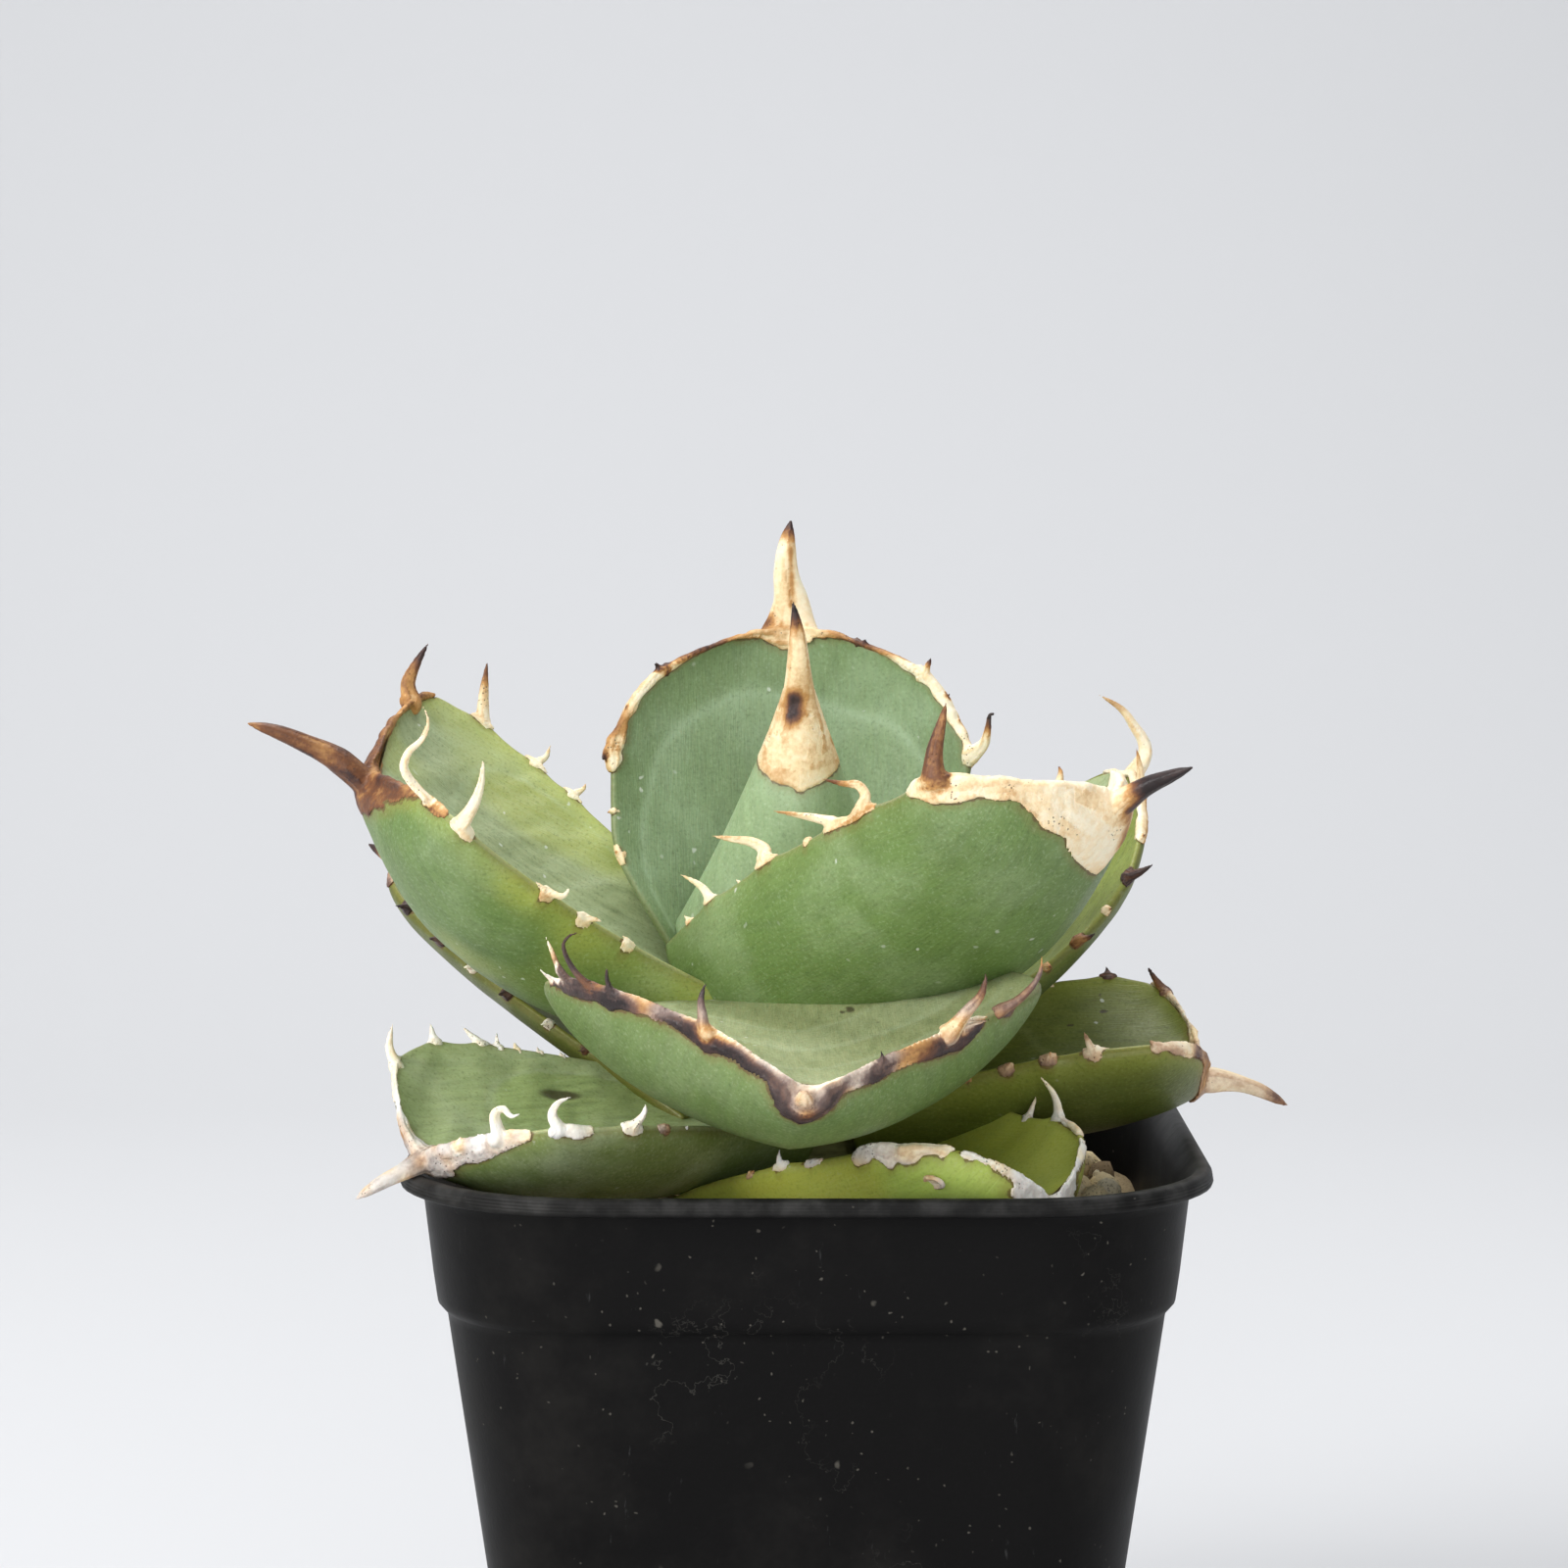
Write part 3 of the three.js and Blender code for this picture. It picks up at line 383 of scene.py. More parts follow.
        band_tone=(0.0, 0.35, 0.92), cap_tone=(0.12, 0.8), horn_slot="horn_aged", bleach=0.7,
        mottle=0.18, ragged=0.36,
        band_marks=((-1, 0.69, 3.0, 0.75), (-1, 0.82, 1.6, 0.5), (1, 0.9, 1.5, 0.45),
            (1, 0.965, 0.9, 0.2)),
        specks=((0.36, 0.267, 0.55, 3), (0.372, 0.23, 0.4, 2), (0.489, 0.35, 0.3, 1),
            (0.55, -0.5, 0.22, 1), (0.62, 0.1, 0.2, 1)),
        finish="grey_green", yellow_edge=0.06, ghosts=(0.5, 0.68, 0.84), wrinkle=0.1,
        teeth=(
            right(0.897, 2.4, (-0.1, 1.4, 0.9), (-0.2, 2.6, 1.8), (-0.4, 3.6, 3.4), root=0.4, tip=0.8),
            right(0.745, 1.5, (-0.2, 1.3, 0.8), (-0.3, 2.2, 2.0), root=0.8),
            right(0.7, 1.4, (-0.1, 1.8, 0.3), (-0.4, 3.6, 1.0), (-0.6, 4.8, 2.0), (-0.7, 4.8, 3.1),
                (-0.7, 4.3, 3.8), (-0.6, 3.4, 4.0), root=0.75),
            right(0.655, 1.5, (-0.3, 2.0, 0.7), (-0.5, 3.6, 1.8), (-0.8, 5.2, 2.9), root=0.6, tip=0.05),
            right(0.62, 1.1, (-0.1, 1.2, 0.0), (0.0, 2.6, 0.0), root=0.05, tip=0.0, flat=0.5),
            right(0.595, 1.0, (-0.3, 1.2, 0.3), (-0.6, 2.5, 0.7), root=0.1, tip=0.0, flat=0.5),
            right(0.64, 0.9, (0.5, 1.5, 0.6), (0.9, 2.0, 1.6), root=0.3, tip=0.0, flat=0.5),
            left(0.93, 1.2, (-0.1, 0.7, 0.6), (0.1, 0.9, 1.3), root=0.6, tip=0.95),
            left(0.834, 3.2, (-0.1, 2.4, 0.8), (0.0, 4.6, 1.5), (-0.1, 5.8, 2.4), (-0.2, 6.6, 3.4),
                root=0.36, tip=0.75, foot=1.2, slip=-0.8),
            left(0.8, 1.5, (0.4, 1.6, -0.4), (0.9, 2.4, -0.6), root=0.25, tip=0.4, flat=0.5),
            left(0.728, 2.0, (0.2, 2.2, 0.1), (0.3, 4.6, 0.9), (0.3, 6.0, 2.1), (0.2, 6.6, 3.4),
                root=0.6, tip=0.5, slip=-0.9),
        ),
    ),
    dict(
        name="07_left_back", azimuth=145, base_radius=6.5, base_height=82.5, length=55, lift=(25, 29),
        roll=(-10, -2), half_width=(12.5, 16.5), shoulder=0.68, shoulder_power=2.9, cup=(20, 29),
        body_thickness=4.5, keel=0.35, band_from=(0.9, 0.86), band=(0.7, 0.7),
        band_tone=(0.2, 0.5, 0.6), cap_tone=(0.3, 0.4), horn_slot="horn_aged", bleach=0.4,
        finish="olive", yellow_edge=0.08,
        teeth=(
            left(0.8, 1.8, (0.3, 0.9, -0.3), (0.5, 1.5, -0.6), root=0.8),
            left(0.68, 1.8, (0.4, 0.9, -0.4), (0.5, 1.5, -0.7), root=0.7),
            left(0.58, 1.6, (0.3, 1.3, -0.6), root=0.0, tip=0.0),
            left(0.48, 1.6, (0.3, 1.2, -0.6), root=0.7),
            left(0.37, 1.4, (0.3, 1.1, -0.5), root=0.0, tip=0.0),
            left(0.27, 1.2, (0.3, 0.9, -0.5), root=0.6),
            right(0.86, 2.4, (1.4, 1.5, 0.8), (1.4, 2.8, 1.6)),
            right(0.77, 2.2, (1.0, 1.4, 0.6), (0.4, 2.6, 1.2), tip=0.5),
            right(0.66, 1.8, (0.3, 1.2, 0.4), (0, 2, 0.8), tip=0.4),
            right(0.56, 2, (0.2, 1.2, 0.5), (-0.4, 2, 1), tip=0.4),
            right(0.44, 1.5, (0, 1.0, 0.3), (-0.2, 1.5, 0.5), tip=0.3),
        ),
    ),
    dict(
        name="08_right", azimuth=2, base_radius=6, base_height=83, length=42, lift=(13, -2), turn=-2,
        roll=(9, 3), half_width=(12, 20), tip_half_width=1.7, shoulder=0.76, shoulder_power=3.5,
        cup=(37, 42), base_thickness=7, band_from=(0.9, 0.87), band=(0.7, 0.7), cap_below=1.8,
        cap_above=1.8, cap_corner=1.0, spine=((2.8, 0.1, 0.0), (6.4, 0.0, -0.8), (10.2, -0.4, -2.6)),
        spine_start=(-1.6, 0, 0), spine_width=(3.6, 4.2, 3.9, 3.2, 2.7, 2.3, 2.1, 1.8, 1.3, 0.15),
        spine_tone=(0.16, 0.55, 0.8), band_tone=(0.1, 0.14, 0.22), cap_tone=(0.25, 0.4), bleach=0.35,
        mottle=0.12, band_marks=((-1, 0.955, 0.7, 0.6), (-1, 0.985, 0.5, 0.5)),
        specks=((0.757, 0.717, 0.5, 1.2), (0.661, 0.6, 0.35, 1.5), (0.752, 0.85, 0.35, 1),
            (0.6, -0.5, 0.3, 1), (0.5, 0.3, 0.3, 1.2)),
        finish="olive", ghosts=(0.6,), wrinkle=0.15,
        teeth=(
            left(0.93, 1.8, (-1.0, 0.9, 0.6), (-2.4, 2.7, 1.8), root=0.6, tip=0.95),
            left(0.78, 1.8, (-0.1, 1.0, 0.6), root=0.6, tip=0.95),
            left(0.62, 1.5, (0.2, 1.0, 0.5), tip=0.5), left(0.48, 1.4, (0, 0.9, 0.5), tip=0.5),
            right(0.658, 1.7, (-0.3, 0.7, 0.7), (-0.9, 1.8, 1.7), root=0.15, tip=0.5, foot=1.2),
            right(0.67, 1.2, (0.9, 0.3, 0.1), (1.6, 0.4, 0.0), root=0.1, tip=0.2, foot=0.7),
            right(0.83, 1.4, (-0.6, 0.6, 0.2), (-1.2, 0.6, 0.2), root=0.3, tip=0.5),
            right(0.545, 1.6, (0.3, 0.9, 0.5), root=0.3, tip=0.3, foot=1.3),
            right(0.435, 1.5, (0.6, 0.6, 0.4), root=0.3, tip=0.3, foot=1.3),
            right(0.33, 1.2, (0, 0.6, 0.3), root=0.3, tip=0.3),
        ),
    ),
    dict(
        name="09_left_front", azimuth=217, base_radius=6, base_height=81, length=44.5, lift=(5, -1),
        turn=-1, roll=(-8, -8), half_width=(12.5, 19), shoulder=0.71, shoulder_power=2.7,
        shoulder_round=0.74, cup=(29, 46), tip_thickness=1.2, band_from=(0.915, 0.9), band=(1.35, 0.8),
        cap_above=1.6, cap_below=2.0, cap_corner=1.2,
        spine=((2.6, 0.4, -0.9), (5.4, 0.5, -1.8), (8.6, 0.6, -3.2)), spine_start=(-2.2, 0, 0.2),
        spine_width=(3.0, 3.4, 3.0, 2.5, 2.2, 2.0, 1.7, 1.2, 0.15), spine_tone=(0.4, 0.24, 0.4),
        band_tone=(0.0, 0.02, 0.12), cap_tone=(0.1, 0.4), horn_slot="horn_aged", bleach=0.95,
        mottle=0.07, band_marks=((1, 0.96, 2.5, 0.35),),
        # Leaf 09's finish is partly painted light: its upper face is painted paler where other leaves shade
        # it
        specks=((0.461, -0.567, 1.35, 2.4), (0.75, 0.1, 0.25, 1), (0.7, -0.3, 0.2, 1)), finish="worn",
        yellow_edge=0.1, ghosts=(0.74,), wrinkle=0.24, ragged=0.75,
        teeth=(
            right(0.895, 1.9, (0.4, 1.9, 0.8), (-0.1, 3.9, 2.5), root=0.0, tip=0.1),
            right(0.734, 1.8, (0.2, 1.8, 1.1), root=0.0, tip=0.1),
            right(0.6, 1.6, (0.9, 1.2, 0.1), (1.6, 2.3, 0.3), root=0.0, tip=0.1),
            right(0.553, 1.4, (0.0, 1.5, 1.0), root=0.0, tip=0.1),
            right(0.5, 1.2, (0.2, 1.0, 0.5), root=0.1, tip=0.1),
            right(0.44, 1.2, (0.1, 0.8, 0.4), root=0.1, tip=0.1),
            right(0.38, 1.2, (0.1, 0.7, 0.4), root=0.1, tip=0.1),
            left(0.941, 2.3, (0.3, 1.2, 2.1), (-0.4, 2.0, 2.3), (-1.0, 2.1, 1.2), (-2.0, 3.0, 1.1),
                root=0.0, tip=0.0, foot=1.1),
            left(0.98, 1.3, (0.2, 0.6, 0.8), root=0.0, tip=0.1),
            left(0.962, 1.2, (0.3, 0.4, 0.7), root=0.0, tip=0.1),
            left(0.85, 2.2, (0.7, 0.7, 1.4), (0.3, 1.9, 2.2), (-0.7, 3.3, 2.1), root=0.0, tip=0.05,
                foot=1.5, slip=-1.6),
            left(0.665, 1.9, (-0.7, 1.4, 0.6), (-0.8, 2.5, 1.6), root=0.0, tip=0.0, foot=1.2),
            left(0.56, 1.2, (0.1, 0.3, 0.2), root=0.4, tip=0.3, foot=1.7),
            left(0.48, 1.0, (0.1, 0.4, 0.2), root=0.0, tip=0.0),
        ),
    ),
    dict(
        name="10_back_low", azimuth=80, base_radius=6.5, base_height=80, length=42, lift=(14, 4),
        roll=(0, 0), half_width=(12, 18), shoulder_power=3, cup=(30, 35), body_thickness=6,
        band_from=(0.85, 0.85), band=(0.8, 0.8), cap_above=1.8, cap_below=3.5, cap_corner=1.5,
        spine=((2.8, 0, -0.1), (5.4, 0.2, 0.1), (8, 0.3, 0.6)), cap_tone=(0.3, 0.4), bleach=0.5,
        finish="olive", yellow_edge=0.4, ghosts=(0.6, 0.8), wrinkle=0.3,
        teeth=(
            left(0.86, 2.4, (1.3, 1.4, 0.9), (0.6, 2.6, 1.6), tip=0.3),
            left(0.7, 2.2, (0.5, 1.3, 0.7), (-0.4, 2.6, 1.4), tip=0.3),
            left(0.54, 1.8, (0, 1.0, 0.5), (-0.4, 1.8, 1), tip=0.2),
            left(0.4, 1.4, (0, 0.9, 0.4), (-0.3, 1.4, 0.6), tip=0.2),
            right(0.88, 2.4, (1.3, 1.4, 0.9), (0.6, 2.6, 1.6), tip=0.6),
            right(0.72, 2.2, (0.5, 1.3, 0.7), (-0.4, 2.6, 1.4), tip=0.5),
            right(0.56, 1.8, (0, 1.0, 0.5), (-0.4, 1.8, 1), tip=0.2),
            right(0.42, 1.4, (0, 0.9, 0.4), (-0.3, 1.4, 0.6), tip=0.2),
        ),
    ),
    dict(
        name="11_front_low", azimuth=-60, base_radius=6, base_height=74.5, length=41, lift=(7, 5),
        turn=19, roll=(16, -6), half_width=(20.5, 15.5), shoulder=0.67, shoulder_power=2.9,
        shoulder_round=0.68, cup=(31, 62), body_thickness=6, band_from=(0.75, 0.66), band=(0.55, 1.2),
        under=0.62, ragged=0.9, proud=0.2, cap_above=1.2, cap_below=1.6, cap_corner=0.9,
        spine=((1.2, 0, 0.8), (2.2, 0, 1.5)), spine_width=(2.2, 2.2, 1.8, 1.2, 0.3),
        spine_tone=(0.15, 0.3, 0.7), band_tone=(0.0, 0.0, 0.06), cap_tone=(0.0, 0.05), bleach=0.9,
        scars=((0.852, -0.8, 1, 1.2, 0.75, 0.25),), band_marks=((-1, 0.75, 2.0, 0.3),),
        # Leaf 11's underside is partly painted light: lighter, as if lit, where leaf 06 shades it
        finish="yellow_green", yellow_edge=0.3, yellow_patch=1.0, ghosts=(0.6,), wrinkle=0.1,
        teeth=(
            right(0.43, 1.6, (0.2, 1.1, 1.3), root=0.0, tip=0.1),
            right(0.52, 1.3, (0.3, 0.3, 0.3), root=0.1, tip=0.3, foot=1.8),
            right(0.33, 1.2, (0, 0.5, 0.3), root=0.3, tip=0.3),
            right(0.7, 1.6, (0.4, 0.4, 0.3), root=0.05, tip=0.1, foot=1.4),
            left(0.722, 1.8, (-0.3, 1.8, 1.6), (-1.4, 3.1, 3.9), root=0.05, tip=0.1),
            left(0.585, 1.5, (0.7, 2.5, 0.8), root=0.2, tip=0.2),
            left(0.45, 1.3, (0.2, 1.0, 0.4), tip=0.2), left(0.33, 1.2, (0.1, 0.8, 0.3), tip=0.2),
        ),
    ),
]


class Leaf:
    """A bent midrib that carries a cupped blade with a keeled underside, in millimetres."""

    def __init__(self, entry):
        self.__dict__.update(LEAF_DEFAULTS)
        self.__dict__.update(entry)
        self.number = int(self.name[:2])
        self.walk_midrib()

    def heading(self, t):
        """The way that the leaf points, seen from above, in radians."""
        return np.radians(self.azimuth + self.turn * np.maximum(t, 0) ** 1.5)

    def along(self, t):
        """The direction of the midrib."""
        rise = np.radians(mix(*self.lift, t))
        heading = self.heading(t)
        return np.stack([np.cos(rise) * np.cos(heading), np.cos(rise) * np.sin(heading), np.sin(rise)], -1)

    def walk_midrib(self):
        heading = math.radians(self.azimuth)
        start = AXIS + self.base_radius * np.array([math.cos(heading), math.sin(heading), 0])
        start[2] = self.base_height
        middle = (np.arange(MIDRIB_STEPS) + 0.5) / MIDRIB_STEPS
        steps = self.along(middle) * self.length / MIDRIB_STEPS
        self.midrib = np.vstack([start, start + np.cumsum(steps, axis=0)])

    def directions(self, t):
        """Point on the midrib, and the leaf's own directions there: along, left and up."""
        place = np.clip(t, 0, 1) * MIDRIB_STEPS
        stations = np.arange(MIDRIB_STEPS + 1)
        centre = np.stack([np.interp(place, stations, self.midrib[:, k]) for k in range(3)], -1)
        along = self.along(t)
        heading = self.heading(t)
        level = np.stack([-np.sin(heading), np.cos(heading), np.zeros_like(heading)], -1)
        raised = np.cross(along, level)
        roll = np.radians(mix(*self.roll, t))[..., None]
        left_way = level * np.cos(roll) + raised * np.sin(roll)
        up_way = raised * np.cos(roll) - level * np.sin(roll)
        return centre, along, left_way, up_way

    def tip(self):
        """The middle of the tip, and the leaf's own directions there: along, left and up."""
        at = np.array([1.0])
        _, *axes = (part[0] for part in self.directions(at))
        return self.surface(at, 0.0, 0.5)[0], np.stack(axes)

    def half_width_at(self, t):
        base, widest = self.half_width
        growing = mix(base, widest, smooth(t / self.shoulder))
        beyond = np.clip((t - self.shoulder) / (1 - self.shoulder), 0, 1)
        rounding = np.maximum(1 - beyond ** self.shoulder_power, 0) ** self.shoulder_round
        closing = mix(self.tip_half_width, widest, rounding)
        return np.where(t < self.shoulder, growing, closing)

    def thickness_at(self, t):
        growing = mix(self.base_thickness, self.body_thickness, smooth(t / 0.5))
        taper = np.clip(1 - (np.maximum(t - 0.5, 0) / 0.5) ** 2.2, 0, 1)
        closing = mix(self.tip_thickness, self.body_thickness, taper)
        return np.where(t < 0.5, growing, closing)

    def swelling(self, t, side):
        """How far an edge bulges at the feet of its large teeth, in millimetres."""
        total = np.zeros_like(t)
        for each in self.teeth:
            if each.width >= LARGE_TOOTH:
                away = (t - each.at) * self.length / (each.width * 0.9)
                total += np.where(side == each.side, 0.3 * each.width * bell(away), 0)
        return total

    def surface(self, t, across, below, proud=0.0):
        """Points on the skin. across runs from -1, right, to 1, left, and below is 0 on the upper face."""
        given = (np.asarray(each, float) for each in (t, across, below, proud))
        t, across, below, proud = np.broadcast_arrays(*given)
        centre, _, left_way, up_way = self.directions(t)
        swelling = self.swelling(t, np.sign(across)) * np.abs(across) ** 5
        slimmer = np.where(across > 0, 1 - self.lean * smooth((t - 0.5) / 0.4), 1)
        half_width = self.half_width_at(t) * slimmer
        cup = np.radians(mix(*self.cup, t))
        turned = across * (1 + swelling / half_width) * cup
        near_edge = np.minimum(np.abs(across), 1)
        body = (1 - self.keel) * np.maximum(1 - near_edge ** 2.4, 0) ** 0.75 + self.keel * (1 - near_edge)
        thickness = self.edge_thickness + self.thickness_at(t) * body
        sink = below * thickness + proud * (2 * below - 1)
        sideways = half_width * np.sin(turned) / cup + sink * np.sin(turned)
        upwards = half_width * (1 - np.cos(turned)) / cup - sink * np.cos(turned)
        return centre + left_way * sideways[..., None] + up_way * upwards[..., None]

    def edge_directions(self, t, across):
        """Outwards from the edge and up from the face, at places across the leaf."""
        _, _, left_way, up_way = self.directions(t)
        turned = (np.radians(mix(*self.cup, t)) * across)[..., None]
        outwards = left_way * np.cos(turned) + up_way * np.sin(turned)
        upwards = up_way * np.cos(turned) - left_way * np.sin(turned)
        return outwards, upwards

    def band_width(self, t, side):
        """How far the horn reaches in from an edge, in millimetres."""
        distance = t * self.length
        seed = self.number * 4 + (side > 0)
        start = self.band_from[0] if side > 0 else self.band_from[1]
        wander = noise_line(distance / 2.4, seed) + 0.65 * noise_line(distance / 0.8, seed + 50)
        grown = smooth((t - start) * self.length / 2.5 + 0.5)
        width = self.band[side < 0] * (1 + self.ragged * wander) * grown
        for each in self.teeth:
            if each.side == side:
                away = (distance - each.at * self.length - each.slip) / (each.width * 0.62 * each.foot)
                width = np.maximum(width, 0) + 0.27 * each.width * bell(away)
        return width

    def cap_edge(self, across, below):
        """Where the green ends towards the tip: a cap of horn with a point down the keel."""
        shape = np.maximum(1 - np.abs(across) / self.cap_spread, 0) ** self.cap_power
        reach = mix(self.cap_above, self.cap_below, np.asarray(below, float))
        ragged = 0.22 * noise_line(across * 9, self.number + 90)
        ragged += 0.1 * noise_line(across * 31, self.number + 91)
        return 1 - (mix(self.cap_corner, reach, shape) + ragged) / self.length

    def inside_horn(self, t, across, below):
        """Signed distance in millimetres from the horn's edge: positive where horn covers the leaf."""
        half_width = self.half_width_at(t)
        from_edge = (1 - np.abs(across)) * half_width
        width = np.where(across > 0, self.band_width(t, 1), self.band_width(t, -1))
        width = width * mix(1.0, self.under, below)
        beside = np.where(width > 0.2, width - from_edge, -from_edge - 0.3)
        beyond = (t - self.cap_edge(across, below)) * self.length * 0.8
        return np.maximum(beside, beyond)

    def ghost(self, t, across):
        """Faint outlines that the neighbouring leaf's edge pressed into the bud, from 0 to 1."""
        y = np.maximum(t, 1e-3)
        x = np.abs(across) * self.half_width_at(t)
        low, high = np.full(t.shape, 0.15), np.full(t.shape, 1.5)
        for _ in range(HALVINGS):
            middle = (low + high) / 2
            inside = (y / middle < 1) & (x / middle < self.half_width_at(np.minimum(y / middle, 1)))
            high = np.where(inside, middle, high)
            low = np.where(inside, low, middle)
        wobble = 0.02 * noise(np.stack([across * 3, t * 5], -1), self.number)
        bumps = 0.016 * np.maximum(noise(np.stack([across * 9, t * 12], -1), self.number + 5), 0)
        lines = np.zeros(t.shape)
        steps = np.zeros(t.shape)
        for k, level in enumerate(self.ghosts):
            distance = low + wobble + bumps - level
            lines = np.maximum(lines, bell(distance / 0.014))
            steps += (0.5 - smooth(distance / 0.09 + 0.5)) * (1 if k % 2 else -1)
        return lines, steps


# Meshes

def linked(name, data):
    """A new object in the scene that carries a mesh, a light or a camera."""
    made = bpy.data.objects.new(name, data)
    bpy.context.scene.collection.objects.link(made)
    return made


def drop(*unwanted):
    for made in unwanted:
        bpy.data.objects.remove(made)


def shell_mesh(name, shell):
    """Ends the editing of a shell, as a new mesh."""
    mesh = bpy.data.meshes.new(name)
    shell.to_mesh(mesh)
    shell.free()
    return mesh


def outward_mesh(name, points, faces):
    """A mesh with its faces pointing outwards."""
    mesh = bpy.data.meshes.new(name)
    mesh.from_pydata(np.asarray(points).tolist(), [], [list(map(int, face)) for face in faces])
    shell = bmesh.new()
    shell.from_mesh(mesh)
    bmesh.ops.recalc_face_normals(shell, faces=shell.faces)
    shell.to_mesh(mesh)
    shell.free()
    return mesh


def evaluated_mesh(made):
    """The plain mesh that an object's modifiers give."""
    graph = bpy.context.evaluated_depsgraph_get()
    return bpy.data.meshes.new_from_object(made.evaluated_get(graph))


def read_values(items, key, kind, width=1):
    """One property of many mesh items, as a row of numbers."""
    values = np.empty(len(items) * width, kind)
    items.foreach_get(key, values)
    return values


def make_object(name, points, faces, attributes=(), uv=None, material=None):
    """A smooth object from millimetre points, with float attributes and faces pointing outwards."""
    mesh = outward_mesh(name, np.asarray(points) * MM, faces)
    for key, values in dict(attributes).items():
        layer = mesh.attributes.new(key, "FLOAT", "POINT")
        layer.data.foreach_set("value", np.asarray(values, np.float32))
    if uv is not None:
        layer = mesh.uv_layers.new(name="surface")
        corners = read_values(mesh.loops, "vertex_index", np.int32)
        layer.data.foreach_set("uv", np.asarray(uv, np.float32)[corners].ravel())
    mesh.shade_smooth()
    if material:
        mesh.materials.append(material)
    return linked(name, mesh)


def place_piece(made, node):
    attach(made, BODY)
    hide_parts(node)


def closed_tube(rings, size):
    """Points of rings in a row with the middle of each end added, and the faces between them."""
    points = rings.reshape(-1, 3)
    count = len(points) // size
    last_ring = (count - 1) * size
    ends = [points[:size].mean(axis=0), points[last_ring:].mean(axis=0)]
    i, j = np.meshgrid(np.arange(count - 1), np.arange(size), indexing="ij")
    a = i * size + j
    b = i * size + (j + 1) % size
    faces = np.stack([a, b, b + size, a + size], -1).reshape(-1, 4).tolist()
    first_end = count * size
    faces += [[first_end, (k + 1) % size, k] for k in range(size)]
    faces += [[first_end + 1, last_ring + k, last_ring + (k + 1) % size] for k in range(size)]
    return np.vstack([points, ends]), faces


def with_ends(values):
    """Values of a closed tube's points, with those of its two end points added."""
    return np.r_[values, values[0], values[-1]]


# Blade

def blade_rows(leaf, spacing):
    """Places along the leaf, closer where the outline turns in towards the tip."""
    fine = np.linspace(0, 1, 900)
    travel = travelled(leaf.surface(fine, 1.0, 0.5)) + fine * leaf.length
    count = int(travel[-1] / 2 / spacing)
    return np.interp(np.linspace(0, travel[-1], count), travel, fine)


def blade_columns(leaf, spacing):
    """Shares across the leaf, closer near its edges."""
    widest = leaf.half_width_at(np.linspace(0, 1, 50)).max()
    count = int(widest / spacing)
    inner = np.linspace(0, 1 - 0.9 / widest, count)
    outer = 1 - np.array([0.6, 0.36, 0.18, 0.06]) / widest
    half = np.r_[inner, outer, 1.0]
    return np.r_[-half[:0:-1], half]


def build_blade(leaf, spacing, materials):
    """The green blade: one closed skin with its relief and the values that its finish reads."""
    rows = blade_rows(leaf, spacing) * BLADE_END
    columns = blade_columns(leaf, spacing)
    upper = [(u, 0.0) for u in columns]
    lower = [(u, 1.0) for u in columns[-2:0:-1]]
    ring = np.array(upper + lower)
    size = len(ring)
    t = np.repeat(rows, size)
    across = np.tile(ring[:, 0], len(rows))
    below = np.tile(ring[:, 1], len(rows))

    half_width = leaf.half_width_at(t)
    from_edge = (1 - np.abs(across)) * half_width
    radius = leaf.edge_thickness / 2
    inset = np.clip(radius - from_edge, 0, radius)
    rounding = radius - np.sqrt(np.maximum(radius ** 2 - inset ** 2, 0))

    lines, steps = leaf.ghost(t, across)
    upper_face = 1 - below
    seed = leaf.number * 11
    flat = np.stack([across * half_width, t * leaf.length], -1)
    sideways, lengthways = flat.T
    slanting = np.stack([sideways * 0.1 + lengthways * 0.07, lengthways * 0.24 - sideways * 0.2], -1)
    slanting += below[:, None] * 40
    folds = noise(slanting, seed) + 0.35 * noise(slanting * 2.3, seed + 1)
    relief = leaf.wrinkle * folds * (0.35 + 0.65 * upper_face)
    relief += upper_face * (0.1 * steps - 0.05 * lines)
    relief += 0.1 * noise(flat * 0.13 + below[:, None] * 17, seed + 2)
    inside = leaf.inside_horn(t, across, below)
    covered = smooth(inside / 0.7)
    relief *= smooth(from_edge / 2.5)
    points = leaf.surface(t, across, below, relief - rounding - 0.4 * covered)
    outwards, _ = leaf.edge_directions(t, across)
    pull = (0.35 * covered * (from_edge < 0.7))[:, None]
    points -= outwards * np.sign(across)[:, None] * pull
    points, faces = closed_tube(points, size)

    warm = noise(flat * 0.12, seed + 3)
    yellow = leaf.yellow_edge * bell(from_edge / 2.2)
    yellow += leaf.yellow_patch * smooth((warm + 0.75 - 0.06 * from_edge) * 1.2) * 0.8
    mark = np.zeros(t.shape)
    for place, off_centre, reach, stretch in leaf.specks:
        offset = np.hypot((across - off_centre) * half_width, (t - place) * leaf.length / stretch)
        mark = np.maximum(mark, upper_face * bell(offset / reach))
    attributes = {
        "rim": -inside,
        "edge_near": bell(from_edge / 1.2),
        "yellow": np.clip(yellow, 0, 1),
        "ghost": upper_face * lines,
        "ghost_step": upper_face * steps,
        "face": below,
        "mark": mark,
        "rise": t,
    }
    attributes = {key: with_ends(values) for key, values in attributes.items()}
    uv = np.stack([with_ends(flat[:, 0] + 60 * below), with_ends(flat[:, 1])], -1) * 0.01
    made = make_object("blade_" + leaf.name, points, faces, attributes, uv, materials[leaf.finish])
    place_piece(made, "leaf_" + leaf.name)


# Horn: the band, cap, teeth and spine are drawn as overlapping solids and then fused

